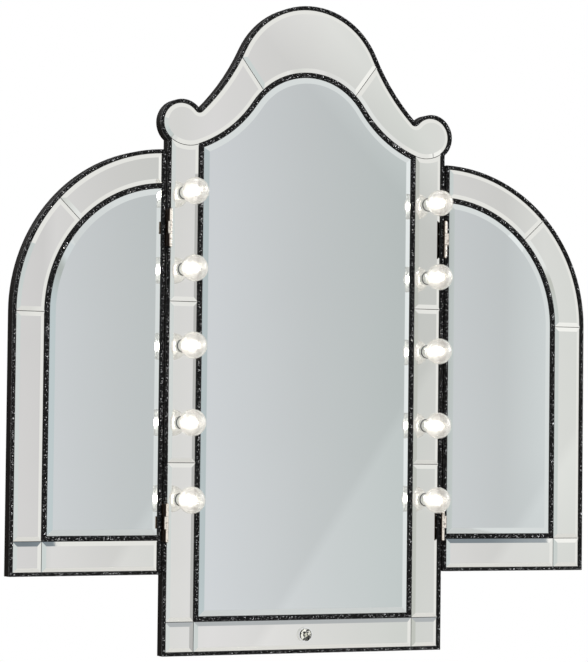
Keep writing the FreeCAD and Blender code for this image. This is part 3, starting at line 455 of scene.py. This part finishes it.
def light_source():
    """Phosphor moulded over the lamp's chips: a white glow, brightest at its free end."""
    foot_share = 1 / 3
    made, tree, shader, coords = material("light_source", Roughness=0.6, Emission_Color=finishes().lamp_light)
    low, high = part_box("bulb_emitters")
    depth = add(tree, "ShaderNodeSeparateXYZ", None, {"Vector": coords})
    shine = add(tree, "ShaderNodeMapRange", None,
                {"Value": depth.outputs["Y"], "From Min": low.y, "From Max": high.y,
                 "To Min": studio().glow, "To Max": studio().glow * foot_share})
    tree.links.new(shine.outputs["Result"], shader.inputs["Emission Strength"])
    return made


def plated(name, tint, rough, grain):
    """Plated or turned metal: polishing leaves an unevenness of this grain, drawn coarse enough to show."""
    # Share of the tint at the deepest, and shares of the roughness from bright to dull
    deepest = 0.86
    bright, dull = 0.6, 1.4
    made, tree, shader, coords = material(name, Metallic=1.0)
    marks = add(tree, "ShaderNodeTexNoise", None, {"Vector": coords, "Scale": 1 / grain, "Detail": 4.0})
    tone = add(tree, "ShaderNodeMix", {"data_type": "RGBA"},
               {"Factor": marks.outputs["Fac"], "A": shaded(tint, deepest), "B": tint})
    tree.links.new(tone.outputs["Result"], shader.inputs["Base Color"])
    polish = add(tree, "ShaderNodeMapRange", None,
                 {"Value": marks.outputs["Fac"], "To Min": rough * bright, "To Max": rough * dull})
    tree.links.new(polish.outputs["Result"], shader.inputs["Roughness"])
    return made


def threaded_plating():
    """Plated cap with a thread rolled along the lamp's axis: rounded bright bands."""
    made = plated("threaded_plating", finishes().cap_plating, rough=0.25, grain=2 * MM)
    tree = made.node_tree
    coords = add(tree, "ShaderNodeTexCoord").outputs["Object"]
    thread = add(tree, "ShaderNodeTexWave", {"bands_direction": "Y"},
                 {"Vector": coords, "Scale": WAVE_PERIOD / sizes().thread_pitch})
    bump = add(tree, "ShaderNodeBump", None,
               {"Height": thread.outputs["Fac"], "Strength": 0.8, "Distance": 0.5 * MM})
    tree.links.new(bump.outputs["Normal"], tree.nodes["Principled BSDF"].inputs["Normal"])
    return made


def nickel_painted_shade_and_highlight():
    """Nickel plate painted dark brown as painted shade and dark reflection, left bright in streaks along the
    front of the knuckles as a painted highlight.
    """
    f = finishes()
    # Where the painted highlight fades out, the size and levels of its streaks, and its least share between
    # them
    highlight_edge = 0.5 * MM
    streak_grain = 3 * MM
    streak_low, streak_high = 0.36, 0.46
    least_highlight = 0.35
    shade_rough, highlight_rough = 0.4, 0.16
    made, tree, shader, coords = material("nickel_painted_shade_and_highlight", Metallic=1.0)
    low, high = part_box("hinge_pins")
    crest = (low.y + high.y) / 2 - sizes().knuckle_highlight_reach
    place = add(tree, "ShaderNodeSeparateXYZ", None, {"Vector": coords})
    ahead = add(tree, "ShaderNodeMapRange", None,
                {"Value": place.outputs["Y"], "From Min": crest, "From Max": crest - highlight_edge})
    marks = add(tree, "ShaderNodeTexNoise", None,
                {"Vector": coords, "Scale": 1 / streak_grain, "Detail": 4.0})
    streaks = add(tree, "ShaderNodeMapRange", None,
                  {"Value": marks.outputs["Fac"], "From Min": streak_low, "From Max": streak_high,
                   "To Min": least_highlight})
    highlight_share = add(tree, "ShaderNodeMath", {"operation": "MULTIPLY"},
               {0: ahead.outputs["Result"], 1: streaks.outputs["Result"]})
    # Painted shade and highlight: dark brown behind the knuckles' front, bright nickel streaks on it
    skin = add(tree, "ShaderNodeMix", {"data_type": "RGBA"},
               {"Factor": highlight_share.outputs[0], "A": f.nickel, "B": f.rubbed})
    tree.links.new(skin.outputs["Result"], shader.inputs["Base Color"])
    rough = add(tree, "ShaderNodeMapRange", None,
                {"Value": highlight_share.outputs[0], "To Min": shade_rough, "To Max": highlight_rough})
    tree.links.new(rough.outputs["Result"], shader.inputs["Roughness"])
    return made


def moulded(name, tint, rough, grain, lift):
    """Moulded, painted or glazed body: even, with a grain on its surface, drawn coarse enough to show."""
    gloss, dull = 0.8, 1.2
    made, tree, shader, coords = material(name)
    marks = add(tree, "ShaderNodeTexNoise", None, {"Vector": coords, "Scale": 1 / grain, "Detail": 3.0})
    tone = add(tree, "ShaderNodeMix", {"data_type": "RGBA"},
               {"Factor": marks.outputs["Fac"], "A": tint, "B": shaded(tint, lift)})
    tree.links.new(tone.outputs["Result"], shader.inputs["Base Color"])
    finish = add(tree, "ShaderNodeMapRange", None,
                 {"Value": marks.outputs["Fac"], "To Min": rough * gloss, "To Max": rough * dull})
    tree.links.new(finish.outputs["Result"], shader.inputs["Roughness"])
    bump = add(tree, "ShaderNodeBump", None,
               {"Height": marks.outputs["Fac"], "Strength": 0.15, "Distance": 0.2 * MM})
    tree.links.new(bump.outputs["Normal"], shader.inputs["Normal"])
    return made


def cut_crystal():
    """Crystal cut, polished and foiled behind its girdle: the facets flash bright foil and dark patches,
    which are painted dark reflections.
    """
    f = finishes()
    dark_patch_share = 0.45
    made, tree, shader, coords = material("cut_crystal", Transmission_Weight=1.0, IOR=1.54, Roughness=0.0)
    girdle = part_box("crystal_button")[0].y + sizes().crystal_crown
    depth = add(tree, "ShaderNodeSeparateXYZ", None, {"Vector": coords})
    foil = add(tree, "ShaderNodeMath", {"operation": "GREATER_THAN"}, {0: depth.outputs["Y"], 1: girdle})
    patches = add(tree, "ShaderNodeTexVoronoi", None, {"Vector": coords, "Scale": 1 / sizes().foil_patch})
    chance = add(tree, "ShaderNodeSeparateColor", None, {"Color": patches.outputs["Color"]})
    bright = add(tree, "ShaderNodeMath", {"operation": "GREATER_THAN"},
                 {0: chance.outputs["Red"], 1: dark_patch_share})
    # Painted reflection: dark patches in the foil, so that some facets show dark
    tone = add(tree, "ShaderNodeMix", {"data_type": "RGBA"},
               {"Factor": bright.outputs[0], "A": f.foil_dark_patch, "B": f.foil})
    skin = add(tree, "ShaderNodeMix", {"data_type": "RGBA"},
               {"Factor": foil.outputs[0], "A": WHITE, "B": tone.outputs["Result"]})
    tree.links.new(skin.outputs["Result"], shader.inputs["Base Color"])
    tree.links.new(foil.outputs[0], shader.inputs["Metallic"])
    return made


def solids_of(name):
    """The separate solids of a CAD node, each as an array of its points."""
    shell = bmesh.new()
    shell.from_mesh(frame["nodes"][name].data)
    bmesh.ops.remove_doubles(shell, verts=shell.verts, dist=MERGE)
    groups = []
    for first in shell.verts:
        if first.tag:
            continue
        first.tag = True
        group = [first]
        for vert in group:
            for edge in vert.link_edges:
                other = edge.other_vert(vert)
                if not other.tag:
                    other.tag = True
                    group.append(other)
        groups.append(np.array([vert.co for vert in group]))
    shell.free()
    return groups


def screw_place(points):
    """A screw's head centre, outward direction, head and shank radius, head depth and length."""
    centre = (points.min(0) + points.max(0)) / 2
    # The points reach furthest along the screw's axis, and the head is at the wide end
    axis = np.linalg.eigh(np.cov((points - centre).T))[1][:, -1]
    along = (points - centre) @ axis
    radius = np.linalg.norm(points - centre - np.outer(along, axis), axis=1)
    if along[radius.argmax()] < 0:
        axis, along = -axis, -along
    head = along.max()
    shank = radius[along < along.min() + MERGE].max()
    depth = head - along[np.isclose(radius, shank, atol=SHANK_SLACK)].max()
    return centre + axis * head, axis, radius.max(), shank, depth, head - along.min()


def recessed_screw(bm, place, turn):
    """One countersunk screw with a cross recess, added to a mesh."""
    at, axis, head, shank, depth, length = place
    s = sizes()
    before = set(bm.verts)
    # The head's face round a cross
    rim = bmesh.ops.create_circle(bm, segments=s.screw_sides, radius=head)["verts"]
    half = s.recess_width / 2
    arm = head * s.recess_share
    corners = []
    for quarter in range(4):
        spin = Matrix.Rotation(quarter * math.pi / 2, 3, "Z")
        for x, y in ((arm, -half), (arm, half), (half, half)):
            corners.append(bm.verts.new(spin @ Vector((x, y, 0))))
    cross = bm.faces.new(corners)
    rings = [e for v in rim for e in v.link_edges] + list(cross.edges)
    bmesh.ops.triangle_fill(bm, use_beauty=True, edges=list(dict.fromkeys(rings)), normal=(0, 0, 1))
    # The recess, with walls that lean in
    floor = bmesh.ops.extrude_face_region(bm, geom=[cross])["geom"]
    sunk = [v for v in floor if isinstance(v, bmesh.types.BMVert)]
    bmesh.ops.translate(bm, verts=sunk, vec=(0, 0, -s.recess_depth))
    bmesh.ops.scale(bm, verts=sunk, vec=(RECESS_TAPER, RECESS_TAPER, 1.0))
    bmesh.ops.delete(bm, geom=[cross], context="FACES_ONLY")
    # The countersink, the shank and the tip
    loop = list(dict.fromkeys(e for v in rim for e in v.link_edges if e.other_vert(v) in rim))
    for radius, drop in ((shank, depth), (shank, length - shank), (shank * TIP_SHARE, length)):
        grown = bmesh.ops.extrude_edge_only(bm, edges=loop)["geom"]
        ring = [v for v in grown if isinstance(v, bmesh.types.BMVert)]
        loop = [e for e in grown if isinstance(e, bmesh.types.BMEdge)]
        for vert in ring:
            flat = Vector((vert.co.x, vert.co.y, 0)).normalized() * radius
            vert.co = (flat.x, flat.y, -drop)
    bmesh.ops.contextual_create(bm, geom=loop)
    new = [v for v in bm.verts if v not in before]
    upright = Vector(axis).to_track_quat("Z", "Y").to_matrix().to_4x4()
    seated = Matrix.Translation(Vector(at)) @ upright @ Matrix.Rotation(turn, 4, "Z")
    bmesh.ops.transform(bm, matrix=seated, verts=new)


def shadow_ring(bm, centre, radius):
    """One dark ring round the foot of a collar, a painted contact shadow, added to a mesh."""
    thick = sizes().shadow_ring_radius
    before = set(bm.verts)
    made = bmesh.ops.create_circle(bm, segments=SHADOW_RING_SIDES, radius=thick)["verts"]
    bmesh.ops.translate(bm, verts=made, vec=(radius + thick / 2, 0, 0))
    rim = list(dict.fromkeys(e for v in made for e in v.link_edges))
    bmesh.ops.spin(bm, geom=made + rim, cent=(0, 0, 0), axis=(0, 1, 0), angle=2 * math.pi,
                   steps=SHADOW_RING_STEPS, use_merge=True)
    ring = [v for v in bm.verts if v not in before]
    bmesh.ops.translate(bm, verts=ring, vec=(centre[0], centre[1] - thick, centre[2]))


def placed(name, bm, finish):
    """A mesh with its finish as an object at the origin."""
    mesh = bpy.data.meshes.new(name)
    bm.to_mesh(mesh)
    bm.free()
    mesh.materials.append(finish)
    made = bpy.data.objects.new(name, mesh)
    bpy.context.scene.collection.objects.link(made)
    return made


def piece(name, bm, finish, body):
    """A finished mesh as an object that rides on a body."""
    bmesh.ops.remove_doubles(bm, verts=bm.verts, dist=MERGE)
    bmesh.ops.recalc_face_normals(bm, faces=bm.faces)
    made = placed(name, bm, finish)
    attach(made, body)
    return made


class VANITY_OT_mirrors(bpy.types.Operator):
    """Silver the three large mirrors"""

    bl_idname = "vanity.mirrors"
    bl_label = "Mirrors"

    def execute(self, context):
        # Silvered float glass, cut and ground: a cool grey-blue reflection
        glass = silvered_glass("silvered_mirror", finishes().mirror_tint, sizes().mirror_patch)
        dress(glass, "centre_mirror", "left_wing_mirror", "right_wing_mirror")
        return {"FINISHED"}


class VANITY_OT_tiles(bpy.types.Operator):
    """Silver the bevelled border tiles"""

    bl_idname = "vanity.tiles"
    bl_label = "Border tiles"

    def execute(self, context):
        # Thinner silvered glass with a ground bevel: a lighter, warmer reflection than the mirrors
        glass = silvered_glass("silvered_tile", finishes().tile_tint, sizes().tile_patch)
        dress(glass, *named("_tile"))
        return {"FINISHED"}


class VANITY_OT_beads(bpy.types.Operator):
    """Set the black beads with glitter"""

    bl_idname = "vanity.beads"
    bl_label = "Glitter beads"

    def execute(self, context):
        dress(glitter_resin(), *named("_bead"))
        return {"FINISHED"}


class VANITY_OT_boards(bpy.types.Operator):
    """Lacquer the boards and face the back cover"""

    bl_idname = "vanity.boards"
    bl_label = "Boards"

    def execute(self, context):
        dress(black_lacquer(), *named("_board"))
        dress(hardboard(), "back_cover")
        return {"FINISHED"}


class VANITY_OT_lamps(bpy.types.Operator):
    """Light the globe bulbs in their collars"""

    bl_idname = "vanity.lamps"
    bl_label = "Lamps"

    def execute(self, context):
        f = finishes()
        dress(lit_glass(), "bulb_globes")
        dress(light_source(), "bulb_emitters")
        dress(threaded_plating(), "bulb_caps")
        # Glazed steatite, pressed and fired: hard, white and slightly glossy
        steatite = moulded("glazed_steatite", f.porcelain, rough=0.3, grain=5 * MM, lift=1.06)
        dress(steatite, "lamp_sockets")
        # Silver plate over brass: near mirror, with a trace of polishing haze
        dress(plated("silver_plate", f.silver, rough=0.08, grain=4 * MM), "socket_collars")
        bm = bmesh.new()
        for points in solids_of("socket_collars"):
            low, high = points.min(0), points.max(0)
            foot = ((low[0] + high[0]) / 2, high[1], (low[2] + high[2]) / 2)
            shadow_ring(bm, foot, (high[0] - low[0]) / 2)
        # Painted shadow: a matt near-black ring that draws a dark line under each collar, where its contact
        # shadow falls
        rubber = moulded("collar_shadow_black", f.rubber, rough=0.7, grain=1 * MM, lift=1.3)
        piece("collar_shadow_rings", bm, rubber, CENTRE)
        return {"FINISHED"}


class VANITY_OT_button(bpy.types.Operator):
    """Cut the crystal button and plate its bezel"""

    bl_idname = "vanity.button"
    bl_label = "Push button"

    def execute(self, context):
        dress(cut_crystal(), "crystal_button")
        # Bright chrome over nickel: near mirror, with a trace of polishing haze
        chrome = plated("bright_chrome", finishes().chrome, rough=0.06, grain=4 * MM)
        dress(chrome, "button_bezel")
        return {"FINISHED"}


class VANITY_OT_hinges(bpy.types.Operator):
    """Finish the hinges"""

    bl_idname = "vanity.hinges"
    bl_label = "Hinges"

    def execute(self, context):
        # Nickel with painted shade, and a painted highlight along the knuckles' front
        dress(nickel_painted_shade_and_highlight(), "hinge_pins", *named("hinge_leaves"))
        return {"FINISHED"}


class VANITY_OT_screws(bpy.types.Operator):
    """Put cross-recessed screws in the cover and the hinges"""

    bl_idname = "vanity.screws"
    bl_label = "Screws"

    def execute(self, context):
        # Zinc plate, passivated: pale grey with a cloudy bloom
        zinc = plated("zinc_plate", finishes().zinc, rough=0.32, grain=3 * MM)
        dress(zinc, "bushing_nut")
        for name in named("_screws"):
            body = next((wing for wing in WINGS if name.startswith(wing)), CENTRE)
            bm = bmesh.new()
            for i, points in enumerate(solids_of(name)):
                recessed_screw(bm, screw_place(points), i * RECESS_TURN)
            made = piece("recessed_" + name, bm, zinc, body)
            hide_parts(name)
        return {"FINISHED"}


class VANITY_OT_fittings(bpy.types.Operator):
    """Finish the inserts, driver, switch, inlet and cables in the back"""

    bl_idname = "vanity.fittings"
    bl_label = "Back fittings"

    def execute(self, context):
        f = finishes()
        # Turned brass: yellow, slightly dulled
        dress(plated("turned_brass", f.brass, rough=0.28, grain=1.5 * MM), "threaded_inserts")
        # Moulded ABS with a spark-eroded grain: an even dark satin
        plastic = moulded("moulded_abs", f.moulded_black, rough=0.5, grain=1.2 * MM, lift=1.5)
        dress(plastic, "led_driver", "button_switch", "power_inlet")
        # Extruded PVC jacket: pale, matt and even
        jacket = moulded("cable_pvc", f.jacket, rough=0.55, grain=2 * MM, lift=1.3)
        dress(jacket, "left_lamp_cable", "right_lamp_cable", "switch_lead")
        return {"FINISHED"}


class VANITY_OT_stage(bpy.types.Operator):
    """Set the floor, lights, surroundings, cards and camera"""

    bl_idname = "vanity.stage"
    bl_label = "Studio"

    def execute(self, context):
        make_floor()
        make_lights()
        make_surroundings()
        make_cards()
        make_camera()
        context.scene.view_settings.view_transform = "Standard"
        return {"FINISHED"}


def make_floor():
    """A plain pale floor, below what the camera sees."""
    foot = cad_box[0][2] - studio().floor_drop
    bm = bmesh.new()
    bmesh.ops.create_circle(bm, cap_ends=True, segments=FLOOR_SIDES, radius=studio().floor_radius)
    bmesh.ops.translate(bm, verts=bm.verts, vec=(0, 0, foot))
    # Matt paint on board, rolled: pale and barely uneven
    paint = moulded("floor_paint", finishes().floor, rough=0.8, grain=60 * MM, lift=0.985)
    floor = placed("floor", bm, paint)


def make_lights():
    """Four soft boxes: a key from the upper left, a fill from the right, one overhead and one behind."""
    for name, place, width, power in SOFT_BOXES:
        lamp = bpy.data.lights.new(name, "AREA")
        lamp.size = width
        lamp.energy = power
        made = bpy.data.objects.new(name, lamp)
        made.location = place
        made.rotation_euler = (Vector(LIGHT_TARGET) - Vector(place)).to_track_quat("-Z", "Y").to_euler()
        bpy.context.scene.collection.objects.link(made)


def make_surroundings():
    """White all round for the eye and through glass, and an even pale tone for reflections."""
    world = bpy.data.worlds.new("studio")
    bpy.context.scene.world = world
    world.use_nodes = True
    tree = world.node_tree
    shade = tree.nodes["Background"]
    path = add(tree, "ShaderNodeLightPath")
    glossy = path.outputs["Is Glossy Ray"]
    seen = add(tree, "ShaderNodeMath", {"operation": "MAXIMUM"},
               {0: path.outputs["Is Camera Ray"], 1: path.outputs["Is Transmission Ray"]})
    lit = add(tree, "ShaderNodeMix", {"data_type": "FLOAT"},
              {"Factor": glossy, "A": DIFFUSE_LEVEL, "B": GLOSSY_LEVEL})
    level = add(tree, "ShaderNodeMix", {"data_type": "FLOAT"},
                {"Factor": seen.outputs[0], "A": lit.outputs["Result"], "B": 1.0})
    tree.links.new(level.outputs["Result"], shade.inputs["Strength"])
    tint = add(tree, "ShaderNodeMix", {"data_type": "RGBA"},
               {"Factor": glossy, "A": WHITE, "B": finishes().sheen})
    tree.links.new(tint.outputs["Result"], shade.inputs["Color"])


def make_cards():
    """What the mirrors show in front of them: a broad grey card, a slim one, two far ones and two nets."""
    f = finishes()
    broad = card("broad_card", BROAD_LOW, BROAD_HIGH, studio().card_distance)
    shade_broad(broad)
    soften_broad(broad)
    card("slim_card", *SLIM_CARD, Color=f.slim_card)
    card("far_dark_card", *FAR_DARK_CARD, Color=f.far_dark_card)
    card("far_grey_card", *FAR_GREY_CARD, Color=f.far_grey_card)
    dim_left(card("left_net", *LEFT_NET, Strength=0.0))
    light_right(card("right_net", *RIGHT_NET))


def card(name, low, high, distance, **values):
    """An upright card that only the mirrors show, with the values of its even glow. Returns its node tree."""
    bm = bmesh.new()
    corners = ((low[0], low[1]), (high[0], low[1]), (high[0], high[1]), (low[0], high[1]))
    bm.faces.new([bm.verts.new((x, -distance, z)) for x, z in corners])
    glow = bpy.data.materials.new(name)
    glow.use_nodes = True
    glow.cycles.emission_sampling = "NONE"
    tree = glow.node_tree
    tree.nodes.remove(tree.nodes["Principled BSDF"])
    light = add(tree, "ShaderNodeEmission", None, values)
    tree.links.new(light.outputs["Emission"], tree.nodes["Material Output"].inputs["Surface"])
    made = placed(name, bm, glow)
    made.visible_camera = False
    made.visible_diffuse = False
    made.visible_transmission = False
    made.visible_shadow = False
    return tree


def shade_broad(tree):
    """Gives the broad card its tones from left to right and its three rises."""
    place = add(tree, "ShaderNodeTexCoord").outputs["Object"]
    part = add(tree, "ShaderNodeSeparateXYZ", None, {"Vector": place})
    left, right = BROAD_LOW[0], BROAD_HIGH[0]
    along = add(tree, "ShaderNodeMapRange", None,
                {"Value": part.outputs["X"], "From Min": left, "From Max": right})
    fall = add(tree, "ShaderNodeValToRGB", None, {"Fac": along.outputs["Result"]})
    stops = fall.color_ramp.elements
    for x, tone in BROAD_TONES[1:-1]:
        stops.new((x - left) / (right - left)).color = linear(tone)
    stops[0].color = linear(BROAD_TONES[0][1])
    stops[-1].color = linear(BROAD_TONES[-1][1])
    light = tree.nodes["Emission"]
    tree.links.new(fall.outputs["Color"], light.inputs["Color"])
    rises = []
    for across, (start, end), (low, high) in BROAD_RISES:
        reach = add(tree, "ShaderNodeVectorMath", {"operation": "DOT_PRODUCT"}, {0: place, 1: across})
        rise = add(tree, "ShaderNodeMapRange", None,
                   {"Value": reach.outputs["Value"], "From Min": start, "From Max": end,
                    "To Min": low, "To Max": high})
        rises.append(rise.outputs["Result"])
    level = rises[0]
    for rise in rises[1:]:
        level = add(tree, "ShaderNodeMath", {"operation": "MULTIPLY"}, {0: level, 1: rise}).outputs[0]
    tree.links.new(level, light.inputs["Strength"])


def soften_broad(tree):
    """Fades the broad card's left end and its foot into the surroundings."""
    coords = add(tree, "ShaderNodeTexCoord").outputs["Object"]
    place = add(tree, "ShaderNodeSeparateXYZ", None, {"Vector": coords})
    left = add(tree, "ShaderNodeMapRange", None,
               {"Value": place.outputs["X"], "From Min": BROAD_LOW[0], "From Max": BROAD_SOLID[0]})
    foot = add(tree, "ShaderNodeMapRange", None,
               {"Value": place.outputs["Z"], "From Min": BROAD_LOW[1], "From Max": BROAD_SOLID[1]})
    solid = add(tree, "ShaderNodeMath", {"operation": "MULTIPLY"},
                {0: left.outputs["Result"], 1: foot.outputs["Result"]})
    clear = add(tree, "ShaderNodeBsdfTransparent")
    both = add(tree, "ShaderNodeMixShader", None,
               {0: solid.outputs[0], 1: clear.outputs["BSDF"], 2: tree.nodes["Emission"].outputs["Emission"]})
    tree.links.new(both.outputs["Shader"], tree.nodes["Material Output"].inputs["Surface"])


def make_sheer(tree, **inputs):
    """Turns a card into a net, which shows what lies behind it as well as its own glow."""
    clear = add(tree, "ShaderNodeBsdfTransparent", None, inputs)
    both = add(tree, "ShaderNodeAddShader", None,
               {0: clear.outputs["BSDF"], 1: tree.nodes["Emission"].outputs["Emission"]})
    tree.links.new(both.outputs["Shader"], tree.nodes["Material Output"].inputs["Surface"])


def dim_left(tree):
    """Dims what the left wing shows, less and less towards the net's edges."""
    low, high = LEFT_NET[:2]
    dense_right, dense_foot, dense_head = LEFT_DENSE
    coords = add(tree, "ShaderNodeTexCoord").outputs["Object"]
    place = add(tree, "ShaderNodeSeparateXYZ", None, {"Vector": coords})
    right = add(tree, "ShaderNodeMapRange", None,
                {"Value": place.outputs["X"], "From Min": high[0], "From Max": dense_right})
    foot = add(tree, "ShaderNodeMapRange", None,
               {"Value": place.outputs["Z"], "From Min": low[1], "From Max": dense_foot})
    head = add(tree, "ShaderNodeMapRange", None,
               {"Value": place.outputs["Z"], "From Min": high[1], "From Max": dense_head})
    tall = add(tree, "ShaderNodeMath", {"operation": "MULTIPLY"},
               {0: foot.outputs["Result"], 1: head.outputs["Result"]})
    share = add(tree, "ShaderNodeMath", {"operation": "MULTIPLY"},
                {0: right.outputs["Result"], 1: tall.outputs[0]})
    through = add(tree, "ShaderNodeMapRange", None,
                  {"Value": share.outputs[0], "To Min": 1.0, "To Max": LEFT_THROUGH})
    make_sheer(tree, Color=through.outputs["Result"])


def light_right(tree):
    """Adds light to what the right wing shows, more to the right and less towards the floor."""
    coords = add(tree, "ShaderNodeTexCoord").outputs["Object"]
    place = add(tree, "ShaderNodeSeparateXYZ", None, {"Vector": coords})
    along = add(tree, "ShaderNodeMapRange", None,
                {"Value": place.outputs["X"], "From Min": RIGHT_NET[0][0], "From Max": RIGHT_FULL})
    upward = add(tree, "ShaderNodeMapRange", None,
                 {"Value": place.outputs["Z"], "From Min": RIGHT_HEIGHTS[0], "From Max": RIGHT_HEIGHTS[1],
                  "To Min": RIGHT_GLOW[0], "To Max": RIGHT_GLOW[1]})
    both = add(tree, "ShaderNodeMath", {"operation": "MULTIPLY"},
               {0: along.outputs["Result"], 1: upward.outputs["Result"]})
    tree.links.new(both.outputs[0], tree.nodes["Emission"].inputs["Strength"])
    make_sheer(tree)


def make_camera():
    """The photograph's viewpoint."""
    s = studio()
    level = math.cos(s.pitch)
    ahead = Vector((math.sin(s.yaw) * level, math.cos(s.yaw) * level, math.sin(s.pitch)))
    right = Vector((math.cos(s.yaw), -math.sin(s.yaw), 0.0))
    lean = Matrix.Rotation(-s.roll, 3, ahead)
    right, up = lean @ right, lean @ right.cross(ahead)
    camera = bpy.data.cameras.new("camera")
    camera.sensor_width = SENSOR
    camera.lens = s.focal_pixels * SENSOR / IMAGE_HEIGHT
    camera.clip_end = CLIP_END
    made = bpy.data.objects.new("camera", camera)
    turn = Matrix((right, up, -ahead)).transposed()
    made.matrix_world = Matrix.Translation(s.eye) @ turn.to_4x4()
    bpy.context.scene.collection.objects.link(made)
    bpy.context.scene.camera = made


class VANITY_PT_panel(bpy.types.Panel):
    """Steps and settings of the vanity mirror"""

    bl_idname = "VANITY_PT_panel"
    bl_label = "Vanity mirror"
    bl_space_type = "VIEW_3D"
    bl_region_type = "UI"
    bl_category = "Vanity"

    def draw(self, context):
        for step in STEPS:
            self.layout.operator(step.bl_idname)
        for group in (finishes(), sizes(), studio()):
            for name in group.bl_rna.properties.keys():
                if name not in ("rna_type", "name"):
                    self.layout.prop(group, name)


GROUPS = (
    ("vanity_finishes", VANITY_PG_finishes),
    ("vanity_sizes", VANITY_PG_sizes),
    ("vanity_studio", VANITY_PG_studio),
)
STEPS = (
    VANITY_OT_mirrors,
    VANITY_OT_tiles,
    VANITY_OT_beads,
    VANITY_OT_boards,
    VANITY_OT_lamps,
    VANITY_OT_button,
    VANITY_OT_hinges,
    VANITY_OT_screws,
    VANITY_OT_fittings,
    VANITY_OT_stage,
)


def register():
    for name, group in GROUPS:
        bpy.utils.register_class(group)
        setattr(bpy.types.Scene, name, PointerProperty(type=group))
    for step in STEPS:
        bpy.utils.register_class(step)
    bpy.utils.register_class(VANITY_PT_panel)


def unregister():
    bpy.utils.unregister_class(VANITY_PT_panel)
    for step in reversed(STEPS):
        bpy.utils.unregister_class(step)
    for name, group in reversed(GROUPS):
        delattr(bpy.types.Scene, name)
        bpy.utils.unregister_class(group)


def main():
    register()
    bpy.ops.vanity.mirrors()
    bpy.ops.vanity.tiles()
    bpy.ops.vanity.beads()
    bpy.ops.vanity.boards()
    bpy.ops.vanity.lamps()
    bpy.ops.vanity.button()
    bpy.ops.vanity.hinges()
    bpy.ops.vanity.screws()
    bpy.ops.vanity.fittings()
    bpy.ops.vanity.stage()


if __name__ == "__main__":
    main()
